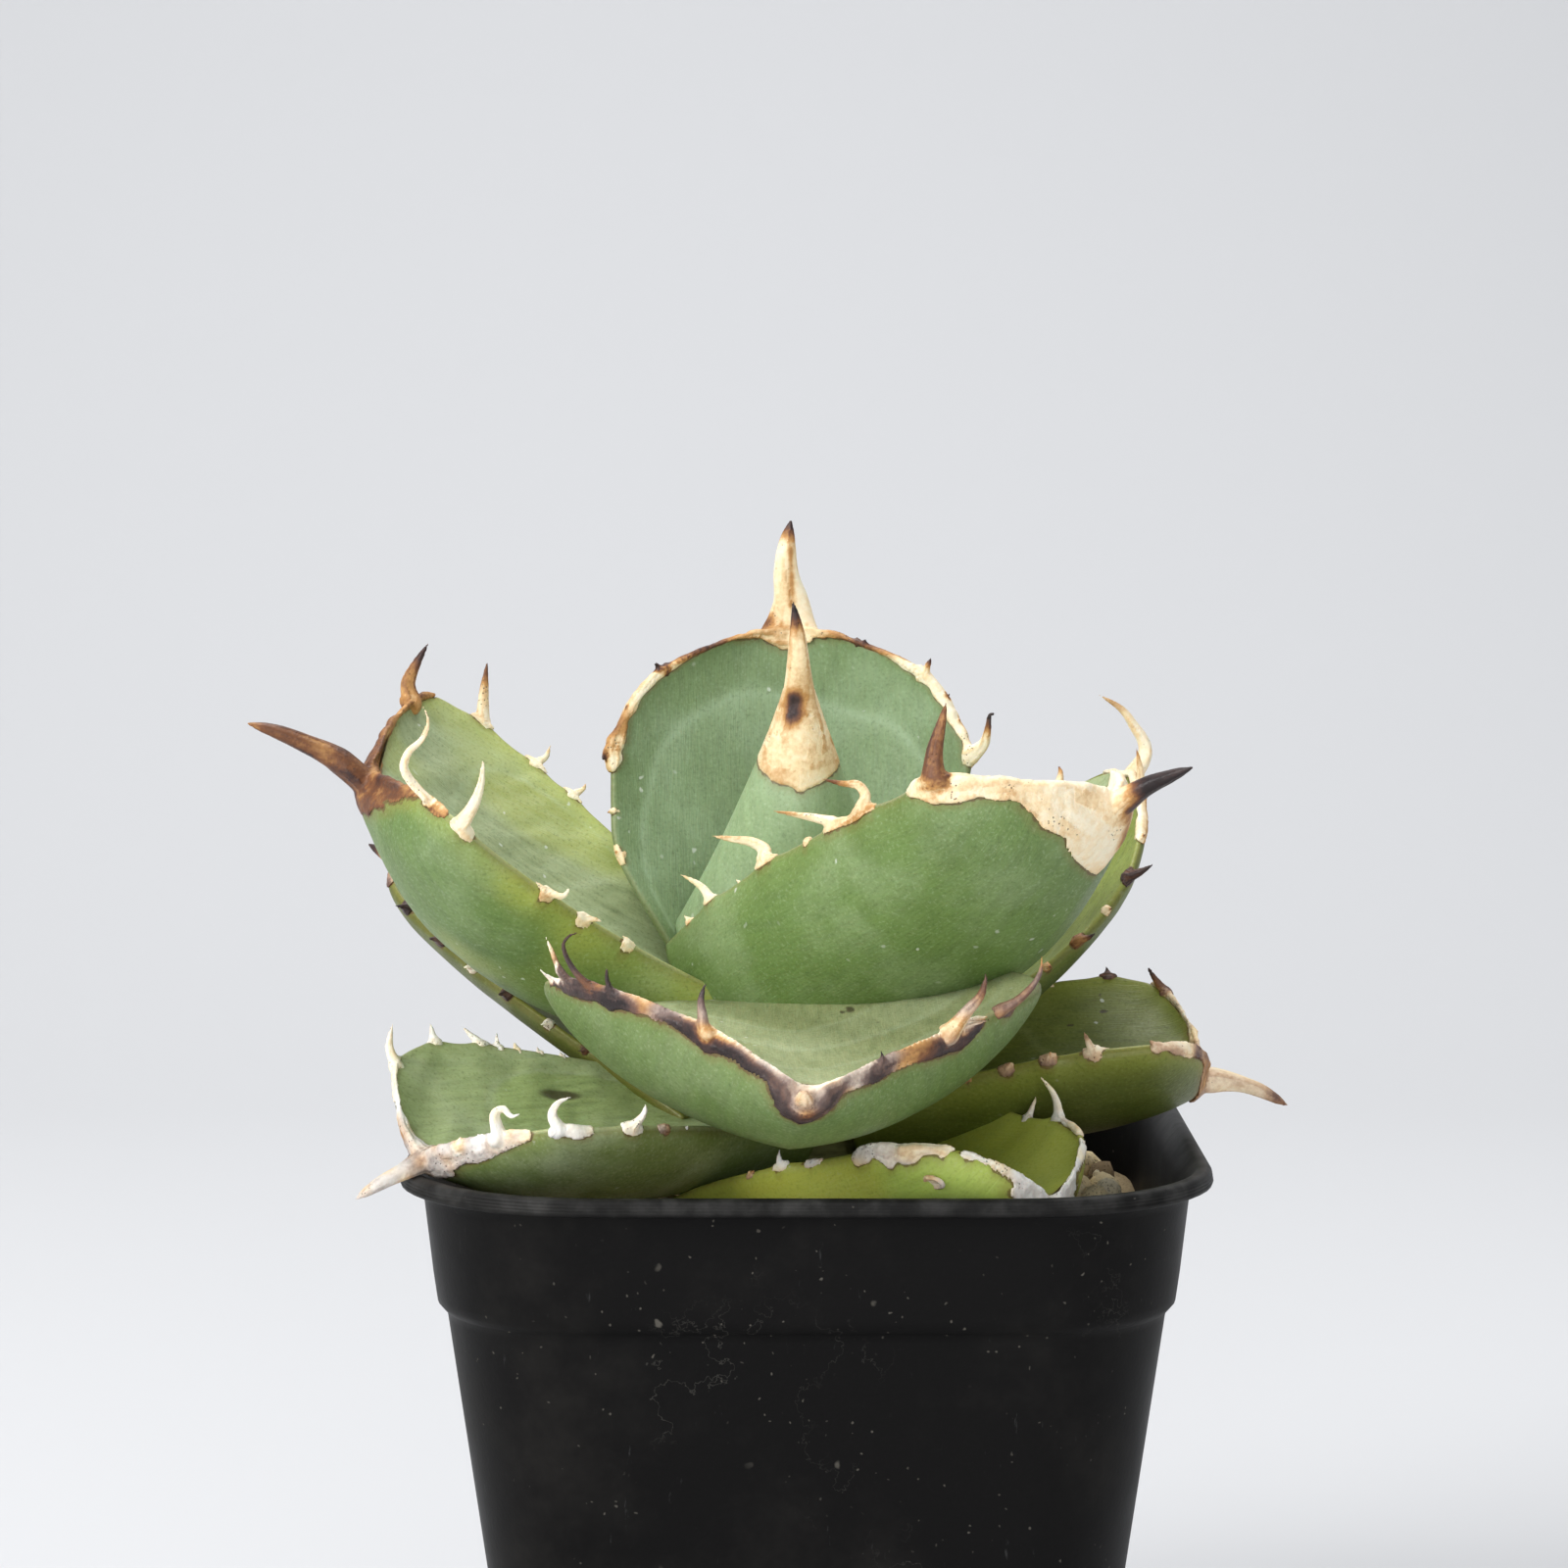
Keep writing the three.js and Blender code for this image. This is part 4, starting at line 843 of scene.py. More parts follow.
class HornDraft:
    """Closed solids with what each of their points needs for its colour and grain."""

    def __init__(self):
        self.points, self.faces = [], []
        self.tone, self.run, self.turn, self.thorny = [], [], [], []
        self.count = 0

    def add(self, points, faces, tone, run, turn, thorny):
        self.faces += [[k + self.count for k in face] for face in faces]
        self.points.append(points)
        for store, values in ((self.tone, tone), (self.run, run), (self.turn, turn)):
            store.append(np.broadcast_to(values, (len(points),)))
        self.thorny.append(np.full(len(points), thorny, float))
        self.count += len(points)


def draft_thorn(draft, path, widths, broad_way, flat, tones, sides=14, rings=26, run_from=0.0, deepest=99):
    """A bent cone along a path. widths and tones are given at even steps from its foot to its point."""
    centre = curve_points(path, rings)
    way = unit(np.gradient(centre, axis=0))
    broad = unit(broad_way - way * (way @ broad_way)[:, None])
    narrow = np.cross(way, broad)
    share = np.linspace(0, 1, rings)
    width = between(share, widths)
    angle = np.linspace(0, 2 * np.pi, sides, endpoint=False)
    depth = np.minimum(width * flat, deepest)
    ring = broad[:, None] * (width[:, None] * np.cos(angle))[..., None]
    ring = ring + narrow[:, None] * (depth[:, None] * np.sin(angle))[..., None]
    points, faces = closed_tube(centre[:, None] + ring / 2, sides)
    tone = np.repeat(between(share, tones), sides)
    run = np.repeat(travelled(centre), sides) + run_from
    turn = np.tile(angle * 0.9, rings)
    draft.add(points, faces, with_ends(tone), with_ends(run), np.r_[turn, 0, 0], 1.0)


def draft_tooth(draft, leaf, each):
    """A tooth on its broader foot, rooted in the leaf's edge."""
    at = np.array([each.at])
    side = float(each.side)
    foot = leaf.surface(at, side, 0.5)[0]
    _, along, _, _ = (part[0] for part in leaf.directions(at))
    outwards, upwards = (part[0] for part in leaf.edge_directions(at, np.array([side])))
    outwards = outwards * side
    axes = np.stack([along, outwards, upwards])
    reach = np.array(each.path) @ axes
    path = np.vstack([foot - outwards * TOOTH_ROOT, foot, foot + reach])
    base = TOOTH_ROOT / (TOOTH_ROOT + np.linalg.norm(reach[-1]))
    share = np.linspace(0, 1, 12)
    widths = each.width * 0.8 * ((1 - share) ** 0.75 * (1 + 0.45 * bell(share / 0.16))) + 0.1
    widths[0] *= 0.8
    bare = np.clip((share - base) / (1 - base), 0, 1)
    tones = mix(each.root, each.tip, smooth((bare - 0.35) / 0.55))
    draft_thorn(draft, path, widths, along, each.flat, tones, run_from=each.at * 90)


def draft_spine(draft, leaf):
    foot, axes = leaf.tip()
    reach = np.array(leaf.spine) @ axes
    start = np.array(leaf.spine_start) @ axes
    path = np.vstack([foot + start, foot + start * 0.3, foot + reach])
    root, tip, change = leaf.spine_tone
    share = np.linspace(0, 1, 16)
    tones = mix(root, tip, smooth((share - change + 0.1) / 0.2))
    draft_thorn(
        draft, path, leaf.spine_width, axes[1], 0.8, tones, sides=18, rings=44, deepest=leaf.spine_depth,
    )


def band_section(leaf, inner, outer, outwards, proud, width):
    """Loops round the leaf's edge at every station, from the upper inner line to the lower one."""
    (upper_t, upper_u), (lower_t, lower_u) = inner
    outer_t, outer_u = outer
    middle = leaf.surface(outer_t, outer_u, 0.5)
    _, upwards = leaf.edge_directions(outer_t, outer_u)
    top = leaf.surface(outer_t, outer_u, 0.0)
    half = np.linalg.norm(top - middle, axis=-1)
    swell = np.minimum(width / 1.2, 1)
    distance = travelled(middle)
    bumps = 0.3 * swell * (noise_line(distance / 1.5, leaf.number) + 0.4 * noise_line(distance / 0.6, 9))
    loops = [leaf.surface(upper_t, upper_u, 0.0, -0.5)]
    shares = (0.0, 0.1, 0.3, 0.55, 0.8)
    heights = (0.05, 0.7, 1.0, 1.0, 1.0)
    for share, height in zip(shares, heights):
        t, u = mix(upper_t, outer_t, share), mix(upper_u, outer_u, share)
        loops.append(leaf.surface(t, u, 0.0, proud * height))
    for degrees in (60, 25, -25, -60):
        angle = math.radians(degrees)
        reach = (proud * 1.2 + 0.15 * swell + bumps) * math.cos(angle)
        rise = (half + proud) * math.sin(angle)
        loops.append(middle + outwards * reach[:, None] + upwards * rise[:, None])
    for share, height in reversed(list(zip(shares, heights))):
        t, u = mix(lower_t, outer_t, share), mix(lower_u, outer_u, share)
        loops.append(leaf.surface(t, u, 1.0, proud * height))
    loops.append(leaf.surface(lower_t, lower_u, 1.0, -0.5))
    return np.stack(loops, axis=1)


def draft_band(draft, leaf, inner, outer, outwards, proud, width, tones):
    """A strip of horn round the edge, toned from its upper line to its lower one."""
    loops = band_section(leaf, inner, outer, outwards, proud, width)
    stations, size = loops.shape[:2]
    points, faces = closed_tube(loops, size)
    run = np.repeat(travelled(loops[:, size // 2]), size)
    around = np.tile(np.linspace(0, 1, size), stations)
    places = (0, 0.36, 0.5, 0.62, 1)
    tone = np.stack([np.interp(around[:size], places, (a, a, b, c, c)) for a, b, c in tones]).ravel()
    draft.add(points, faces, with_ends(tone), with_ends(run), np.r_[around * 6, 3, 3], 0.0)


def edge_stretches(leaf, side):
    """Stretches of the edge that carry horn, as arrays of places along the leaf."""
    t = np.arange(0.02, 0.999, HORN_STATION / leaf.length)
    grows = leaf.band_width(t, side) > LEAST_BAND
    borders = np.flatnonzero(np.diff(np.r_[False, grows, False].astype(int)))
    return [t[a:b] for a, b in zip(borders[::2], borders[1::2]) if b - a > 3]


def draft_edges(draft, leaf):
    """Saddles of horn under the lower teeth, then the band of both edges with the cap between them."""
    corner = float(leaf.cap_edge(np.array([1.0]), 0)[0])
    main = {}
    for side in (-1, 1):
        for t in edge_stretches(leaf, side):
            if t[-1] > corner - 0.01:
                main[side] = t[t < corner]
                continue
            width = leaf.band_width(t, side)
            half_width = leaf.half_width_at(t)
            inner = [(t, side * (1 - width * share / half_width)) for share in (1, leaf.under)]
            outwards = leaf.edge_directions(t, np.full(t.shape, side))[0] * side
            lumpy = 0.9 + 0.3 * noise_line(t * leaf.length / 1.1, leaf.number)
            proud = leaf.proud * smooth(width / 0.6) * lumpy
            beside = [each for each in leaf.teeth if each.side == side]
            nearest = [min(beside, key=lambda each: abs(each.at - place)) for place in t]
            tones = [(each.root, each.root + 0.06, each.root + 0.12) for each in nearest]
            edge = (t, np.full(t.shape, side))
            draft_band(draft, leaf, inner, edge, outwards, proud, width, tones)

    sides = {}
    for side in (-1, 1):
        t = main.get(side)
        if t is None or len(t) < 2:
            t = np.linspace(corner - 1.5 / leaf.length, corner, 5)
        sides[side] = t
    widths = {side: leaf.band_width(sides[side], side) for side in sides}
    c = np.linspace(-1, 1, CAP_STATIONS + 2)[1:-1]
    outer_u = np.where(np.abs(c) < CAP_TURN_IN, c / CAP_TURN_IN, np.sign(c))
    round_corner = mix(corner, 1.0, np.clip((1 - np.abs(c)) / (1 - CAP_TURN_IN), 0, 1))
    outer_t = np.where(np.abs(c) < CAP_TURN_IN, 1.0, round_corner)

    def joined(right_part, cap_part, left_part):
        return np.concatenate([right_part, cap_part, left_part[::-1]])

    right_t, left_t = sides[-1], sides[1]
    inner = []
    for below, share in ((0, 1), (1, leaf.under)):
        across = {
            side: side * (1 - widths[side] * share / leaf.half_width_at(t)) for side, t in sides.items()
        }
        cap_u = np.abs(c) * np.where(c > 0, across[1][-1], across[-1][-1])
        inner_t = joined(right_t, leaf.cap_edge(cap_u, below), left_t)
        inner.append((inner_t, joined(across[-1], cap_u, across[1])))
    edge_u = joined(-np.ones_like(right_t), outer_u, np.ones_like(left_t))
    outer = (joined(right_t, outer_t, left_t), edge_u)
    width = joined(widths[-1], np.full(c.shape, 1.5), widths[1])
    onto_cap = joined(np.zeros_like(right_t), smooth((1 - np.abs(c)) * 2.5), np.zeros_like(left_t))
    ways = leaf.edge_directions(*outer)[0] * np.where(outer[1] > 0, 1, -1)[:, None]
    forwards = leaf.along(outer[0])
    outwards = unit(ways * (1 - onto_cap[:, None]) + forwards * onto_cap[:, None])
    strides = np.hypot(np.diff(outer[0]) * leaf.length, np.diff(outer[1]) * leaf.tip_half_width)
    distance = np.cumsum(np.r_[0, strides])
    proud = leaf.proud * smooth(width / 0.6) * (1 + 0.35 * noise_line(distance / 1.4, leaf.number + 7))
    side_tones = np.array(leaf.band_tone)
    cap_tones = np.array([leaf.cap_tone[0], sum(leaf.cap_tone) / 2, leaf.cap_tone[1]])
    tones = mix(side_tones[None], cap_tones[None], onto_cap[:, None])
    tones = tones + 0.09 * noise_line(distance / 2.2, leaf.number + 20)[:, None]
    for side, at, reach, tone in leaf.band_marks:
        share = bell((outer[0] - at) * leaf.length / reach) * (np.sign(outer[1]) == side)
        tones = mix(tones, tone, share[:, None])
    draft_band(draft, leaf, inner, outer, outwards, proud, width, tones)


def draft_scars(draft, leaf):
    """Dry corky scars: low oval rings on a face."""
    for at, across, below, long_half, wide_half, tone in leaf.scars:
        place = np.array([at])
        centre = leaf.surface(place, across, below)[0]
        outwards, upwards = (part[0] for part in leaf.edge_directions(place, np.array([across])))
        along = leaf.along(place)[0]
        face_way = upwards * (1 - 2 * below)
        angle = np.linspace(0, 2 * np.pi, 30)
        wobble = 1 + 0.12 * noise_line(angle * 1.6, 5)
        ring = centre + along * (np.cos(angle) * long_half * wobble)[:, None]
        ring = ring + outwards * (np.sin(angle) * wide_half * wobble)[:, None] + face_way * 0.02
        draft_thorn(draft, ring, [SCAR_WIDTH] * 4, face_way, 1.0, [tone] * 4, sides=8, rings=40)
        reach = along * long_half * 0.7
        floor = np.stack([centre - reach, centre + face_way * 0.1, centre + reach])
        draft_thorn(
            draft, floor, [wide_half * 1.2] * 4, outwards, 0.25, [tone * 0.6] * 4, sides=10, rings=10,
        )


def fused(points, faces, voxel):
    """One skin round overlapping closed solids, as points and quads."""
    mesh = outward_mesh("draft", points, faces)
    draft = linked("draft", mesh)
    remesh = draft.modifiers.new("fuse", "REMESH")
    remesh.mode = "VOXEL"
    remesh.voxel_size = voxel
    result = evaluated_mesh(draft)
    corners = read_values(result.vertices, "co", float, 3).reshape(-1, 3)
    quads = read_values(result.loops, "vertex_index", np.int32).reshape(-1, 4)
    drop(draft)
    bpy.data.meshes.remove(mesh)
    bpy.data.meshes.remove(result)
    return corners, quads


def summed(index, values, count):
    """Rows of values added up by their index."""
    return np.stack([np.bincount(index, values[:, k], count) for k in range(values.shape[1])], -1)


def relax(points, quads, shares):
    """Moves points part of the way to the middle of their neighbours. Shares under 0 restore thickness."""
    edges = np.vstack([quads[:, [k, (k + 1) % 4]] for k in range(4)])
    count = np.bincount(edges[:, 0], minlength=len(points)) + 1e-9
    for share in shares:
        middle = summed(edges[:, 0], points[edges[:, 1]], len(points)) / count[:, None]
        points = mix(points, middle, share)
    return points


def vertex_normals(points, quads):
    across_one = points[quads[:, 2]] - points[quads[:, 0]]
    across_two = points[quads[:, 3]] - points[quads[:, 1]]
    face = np.cross(across_one, across_two)
    return unit(summed(quads.ravel(), np.repeat(face, 4, axis=0), len(points)))


def build_horn(leaf, voxel, material):
    """All horn of a leaf, fused to one skin that takes its tones and grain from the drafted solids."""
    draft = HornDraft()
    draft_edges(draft, leaf)
    draft_spine(draft, leaf)
    for each in leaf.teeth:
        draft_tooth(draft, leaf, each)
    draft_scars(draft, leaf)
    source = np.vstack(draft.points)
    points, quads = fused(source, draft.faces, voxel)
    points = relax(points, quads, (0.5, -0.52) * 4)

    tree = KDTree(len(source))
    for k, point in enumerate(source):
        tree.insert(point, k)
    tree.balance()
    near = [tree.find_n(point, NEIGHBOURS) for point in points]
    index = np.array([[hit[1] for hit in hits] for hits in near])
    weight = 1 / (np.array([[hit[2] for hit in hits] for hits in near]) + 0.05) ** 2
    weight /= weight.sum(axis=1, keepdims=True)

    def carried(values):
        return (np.concatenate(values)[index] * weight).sum(axis=1)

    tone = carried(draft.tone)
    thorny = smooth(carried(draft.thorny))
    run = np.concatenate(draft.run)[index[:, 0]]
    turn = np.concatenate(draft.turn)[index[:, 0]]
    fibre = noise(np.stack([run / 3.2, turn * 2.4], -1), leaf.number)
    fibre = fibre + 0.6 * noise(np.stack([run / 2, turn * 6], -1), 3)
    lumps = noise(points / 0.9, leaf.number + 30)
    wear = noise(points / 2.1, leaf.number + 60)
    normals = vertex_normals(points, quads)
    height = leaf.rough * mix(0.07 * fibre + 0.09 * lumps, 0.045 * fibre, thorny)
    points = relax(points + normals * height[:, None], quads, (0.3,))

    foot, axes = leaf.tip()
    for start, end, radius, stain_tone in leaf.stains:
        start, end = foot + np.array(start) @ axes, foot + np.array(end) @ axes
        stroke = end - start
        share = np.clip((points - start) @ stroke / (stroke @ stroke), 0, 1)
        away = np.linalg.norm(points - start - share[:, None] * stroke, axis=1)
        tone = mix(tone, stain_tone, bell(away / radius))
    tone = tone + leaf.mottle * wear + 0.04 * fibre
    bleach = leaf.bleach * smooth(0.55 + 0.8 * wear) * (1 - 0.6 * smooth((tone - 0.55) / 0.3))
    attributes = {"tone": np.clip(tone, 0, 1), "bleach": np.clip(bleach, 0, 1), "fibre": fibre * 0.5 + 0.5}
    made = make_object("horn_fine_" + leaf.name, points, quads, attributes, None, material)
    place_piece(made, "horn_" + leaf.name)


# Shader helpers

class Tree:
    """A node tree with short calls for the nodes that every finish needs."""

    def __init__(self, tree):
        self.tree = tree
        self.nodes = tree.nodes
        self.links = tree.links

    def node(self, kind, inputs=(), **settings):
        """A new node with its settings, and its inputs fed by name or number."""
        made = self.nodes.new(kind)
        for key, value in settings.items():
            setattr(made, key, value)
        for key, value in dict(inputs).items():
            self.feed(made.inputs[key], value)
        return made

    def feed(self, socket, value):
        if isinstance(value, bpy.types.NodeSocket):
            self.links.new(value, socket)
        elif value is not None:
            socket.default_value = value

    def maths(self, operation, a, b=None):
        return self.node("ShaderNodeMath", {0: a, 1: b}, operation=operation).outputs[0]

    def times(self, a, b):
        return self.maths("MULTIPLY", a, b)

    def plus(self, a, b):
        return self.maths("ADD", a, b)

    def blend(self, share, a, b):
        b = (*b, 1) if isinstance(b, tuple) else b
        inputs = {"Factor": share, "A": a, "B": b}
        return self.node("ShaderNodeMix", inputs, data_type="RGBA").outputs["Result"]

    def remap(self, value, low, high, to_low=0.0, to_high=1.0):
        inputs = {"Value": value, "From Min": low, "From Max": high, "To Min": to_low, "To Max": to_high}
        return self.node("ShaderNodeMapRange", inputs, interpolation_type="SMOOTHSTEP").outputs["Result"]

    def attribute(self, name):
        return self.node("ShaderNodeAttribute", attribute_name=name).outputs["Fac"]

    def place(self, scale=(1, 1, 1)):
        coordinates = self.node("ShaderNodeTexCoord").outputs["Object"]
        return self.node("ShaderNodeMapping", {"Vector": coordinates, "Scale": scale}).outputs["Vector"]

    def surface_place(self, scale):
        coordinates = self.node("ShaderNodeUVMap", uv_map="surface").outputs["UV"]
        return self.node("ShaderNodeMapping", {"Vector": coordinates, "Scale": scale}).outputs["Vector"]

    def noise(self, vector, scale, detail=3.0, roughness=0.55):
        inputs = {"Vector": vector, "Scale": scale, "Detail": detail, "Roughness": roughness}
        return self.node("ShaderNodeTexNoise", inputs).outputs["Fac"]

    def cells(self, vector, scale):
        return self.node("ShaderNodeTexVoronoi", {"Vector": vector, "Scale": scale}).outputs["Distance"]

    def dust(self, scale, amount):
        group = bpy.data.node_groups["Dust specks"]
        inputs = {"Scale": scale, "Amount": amount}
        return self.node("ShaderNodeGroup", inputs, node_tree=group).outputs["Mask"]

    def ramp(self, value, *stops):
        made = self.node("ShaderNodeValToRGB")
        elements = made.color_ramp.elements
        while len(elements) < len(stops):
            elements.new(0.5)
        for element, (place, colour) in zip(elements, stops):
            element.position = place
            element.color = (*colour, 1)
        self.feed(made.inputs["Fac"], value)
        return made.outputs["Color"]


def new_group(name, inputs, outputs):
    """A shader node group with named inputs and outputs: (name, kind, default)."""
    tree = bpy.data.node_groups.new(name, "ShaderNodeTree")
    for label, kind, default in inputs:
        socket = tree.interface.new_socket(label, in_out="INPUT", socket_type=kind)
        socket.default_value = default
    for label, kind in outputs:
        tree.interface.new_socket(label, in_out="OUTPUT", socket_type=kind)
    helper = Tree(tree)
    source = helper.node("NodeGroupInput")
    result = helper.node("NodeGroupOutput")
    return helper, source.outputs, result.inputs


def speck_group():
    """Dust specks and short fibres that lie on a surface, as a mask."""
    helper, given, result = new_group(
        "Dust specks",
        [("Scale", "NodeSocketFloat", 900.0), ("Amount", "NodeSocketFloat", 0.1)],
        [("Mask", "NodeSocketFloat")],
    )
    place = helper.place()
    warp = helper.node("ShaderNodeTexNoise", {"Vector": place, "Scale": 700}).outputs["Color"]
    nudge = helper.node("ShaderNodeVectorMath", {0: warp, "Scale": 0.0012}, operation="SCALE").outputs[0]
    moved = helper.node("ShaderNodeVectorMath", {0: place, 1: nudge}, operation="ADD").outputs[0]
    dots = helper.node("ShaderNodeTexVoronoi", {"Vector": moved, "Scale": given["Scale"]}).outputs
    near = helper.remap(dots["Distance"], 0.28, 0.12)
    chance = helper.node("ShaderNodeSeparateColor", {0: dots["Color"]}).outputs[0]
    chosen = helper.maths("LESS_THAN", chance, given["Amount"])
    patches = helper.remap(helper.noise(place, 60, 2), 0.42, 0.62)
    helper.feed(result["Mask"], helper.times(helper.times(near, chosen), patches))


def leaf_skin_group():
    """The skin of a leaf: waxy bloom, bud imprints, yellow edges, a brown line where it meets horn, and
    painted shade towards its base.
    """
    colours = "NodeSocketColor"
    helper, given, result = new_group(
        "Leaf skin",
        [
            ("Upper", colours, (0.3, 0.4, 0.2, 1)),
            ("Lower", colours, (0.2, 0.3, 0.1, 1)),
            ("Yellow", colours, (0.4, 0.42, 0.08, 1)),
            ("Bloom", colours, (0.5, 0.62, 0.5, 1)),
            ("Bloom amount", "NodeSocketFloat", 0.3),
            ("Shade", colours, (0.05, 0.09, 0.02, 1)),
        ],
        [("Color", colours), ("Roughness", "NodeSocketFloat"), ("Height", "NodeSocketFloat")],
    )
    place = helper.place()
    pores = helper.noise(place, 2600, 2, 0.6)
    along = helper.noise(helper.surface_place((5, 1, 1)), 22, 4)
    patches = helper.remap(helper.noise(place, 90, 4), 0.42, 0.72)
    steps = helper.remap(helper.attribute("ghost_step"), -0.6, 0.6, -0.2, 0.7)
    film = helper.times(given["Bloom amount"], helper.plus(patches, steps))
    ragged = helper.remap(helper.noise(place, 1400, 3), 0.3, 0.7, -0.1, 0.1)
    from_horn = helper.plus(helper.attribute("rim"), ragged)
    faded = helper.times(helper.attribute("yellow"), helper.remap(along, 0.2, 0.7, 0.75, 1.05))
    layers = (
        (helper.remap(along, 0.35, 0.75, 0, 0.34), given["Shade"]),
        (helper.remap(helper.noise(place, 55, 2), 0.45, 0.8, 0, 0.3), given["Shade"]),
        (faded, given["Yellow"]),
        (film, given["Bloom"]),
        (helper.times(helper.attribute("ghost"), 0.3), given["Bloom"]),
        (helper.remap(pores, 0.52, 0.75, 0, 0.35), given["Shade"]),
        (helper.remap(pores, 0.46, 0.28, 0, 0.2), given["Bloom"]),
        # Painted shade: each leaf darkens towards its base, where it sits in the shade of the rosette
        (helper.remap(helper.attribute("rise"), 0.3, 0.0, 0, 0.2), given["Shade"]),
        (helper.times(helper.dust(800, 0.07), 0.6), (0.75, 0.78, 0.7)),
        (helper.remap(helper.attribute("mark"), 0.35, 0.75, 0, 0.85), (0.055, 0.038, 0.02)),
        (helper.remap(from_horn, 0.9, 0.15, 0, 0.3), (0.2, 0.13, 0.03)),
        (helper.remap(from_horn, 0.2, 0.02, 0, 0.7), (0.12, 0.05, 0.02)),
    )
    body = helper.blend(helper.attribute("face"), given["Upper"], given["Lower"])
    for share, colour in layers:
        body = helper.blend(share, body, colour)
    helper.feed(result["Color"], body)
    gloss = helper.plus(helper.times(film, 0.3), helper.remap(pores, 0.3, 0.7, 0.43, 0.52))
    helper.feed(result["Roughness"], gloss)
    veins = helper.noise(helper.surface_place((14, 1, 1)), 30, 3)
    helper.feed(result["Height"], helper.plus(helper.times(pores, 0.35), veins))
    return helper.tree


def new_material(name, specular, **values):
    """A material, short calls for its nodes, and its shader."""
    material = bpy.data.materials.new(name)
    material.use_nodes = True
    shader = material.node_tree.nodes["Principled BSDF"]
    shader.inputs["Specular IOR Level"].default_value = specular
    for key, value in values.items():
        shader.inputs[key.replace("_", " ")].default_value = value
    return material, Tree(material.node_tree), shader


def cover(helper, shader, colour, roughness, height, distance, strength):
    """Feeds a shader its colour and roughness, and a bump from a height."""
    inputs = {"Distance": distance, "Strength": strength, "Height": height}
    bump = helper.node("ShaderNodeBump", inputs).outputs["Normal"]
    for key, value in (("Base Color", colour), ("Roughness", roughness), ("Normal", bump)):
        helper.feed(shader.inputs[key], value)


def leaf_material(finish, skin, look):
    """The skin of a leaf in one of the finishes."""
    _, upper, lower, bloom, amount = FINISHES[finish]
    material, helper, shader = new_material(
        "leaf " + finish.replace("_", " "), 0.42, Subsurface_Weight=0.08, Subsurface_Scale=0.002,
    )
    shade = tuple(0.42 * c for c in lower)
    colours = {"Upper": upper, "Lower": lower, "Yellow": look.yellow, "Bloom": bloom, "Shade": shade}
    inputs = {key: (*colour, 1) for key, colour in colours.items()}
    inputs["Bloom amount"] = amount * look.bloom
    given = helper.node("ShaderNodeGroup", inputs, node_tree=skin).outputs
    cover(helper, shader, given["Color"], given["Roughness"], given["Height"], 0.00012, 0.5)
    return material


def horn_material():
    """Dry horn: cream to almost black by tone, weathered white by bleach, with streaks and pits."""
    material, helper, shader = new_material(
        "dry horn", 0.35, Subsurface_Weight=0.05, Subsurface_Scale=0.001,
    )
    place = helper.place()
    tone = helper.attribute("tone")
    fibre = helper.attribute("fibre")
    bleach = helper.attribute("bleach")
    grain = helper.noise(place, 1500, 4, 0.6)
    shaded = helper.plus(tone, helper.remap(grain, 0.25, 0.75, -0.06, 0.06))
    shaded = helper.plus(shaded, helper.remap(fibre, 0.35, 0.9, -0.02, 0.06))
    colour = helper.ramp(
        shaded,
        (0.0, (0.97, 0.86, 0.64)),
        (0.14, (0.9, 0.69, 0.41)),
        (0.34, (0.54, 0.28, 0.095)),
        (0.58, (0.19, 0.075, 0.03)),
        (0.8, (0.06, 0.03, 0.025)),
        (1.0, (0.018, 0.011, 0.011)),
    )
    bleached = helper.ramp(
        shaded,
        (0.0, (0.93, 0.91, 0.87)),
        (0.3, (0.66, 0.61, 0.56)),
        (0.6, (0.2, 0.16, 0.15)),
        (1.0, (0.03, 0.025, 0.025)),
    )
    colour = helper.blend(bleach, colour, bleached)
    pits = helper.remap(helper.cells(place, 2300), 0.26, 0.14)
    scattered_pits = helper.plus(helper.noise(place, 240, 2), helper.times(bleach, 0.07))
    pitted = helper.times(pits, helper.remap(scattered_pits, 0.58, 0.65))
    colour = helper.blend(helper.times(pitted, 0.8), colour, (0.07, 0.045, 0.03))
    height = helper.maths("SUBTRACT", helper.plus(grain, helper.times(fibre, 0.6)), pitted)
    cover(helper, shader, colour, helper.remap(tone, 0.3, 0.9, 0.62, 0.4), height, 0.00016, 0.7)
    return material


# Settings in the panel. Colours are linear red, green and blue.

def colour_setting(name, description, default):
    return FloatVectorProperty(name=name, description=description, subtype="COLOR", default=default)


class LeafLook(bpy.types.PropertyGroup):
    """Colours and fineness of the leaves"""

    spacing: FloatProperty(
        name="Blade spacing", default=0.48, min=0.2, max=3,
        description="Distance between points of a blade, in millimetres",
    )
    voxel: FloatProperty(
        name="Horn fineness", default=0.2, min=0.1, max=1,
        description="Size of the smallest detail of fused horn, in millimetres",
    )
    bloom: FloatProperty(
        name="Bloom", default=1.0, min=0, max=3,
        description="Strength of the pale waxy film",
    )
    yellow: colour_setting("Yellow", "Faded edges and patches", (0.46, 0.5, 0.07))


class PotLook(bpy.types.PropertyGroup):
    """Sizes and colour of the pot"""

    corner_steps: IntProperty(
        name="Corner steps", default=14, min=3, max=60,
        description="Faces round each corner of the pot",
    )
    sag: FloatProperty(
        name="Sag", default=0.35, min=0, max=2,
        description="How far the thin sides bow inwards, in millimetres",
    )
    plastic: colour_setting("Plastic", "Colour of the moulded plastic", (0.003, 0.0028, 0.0027))


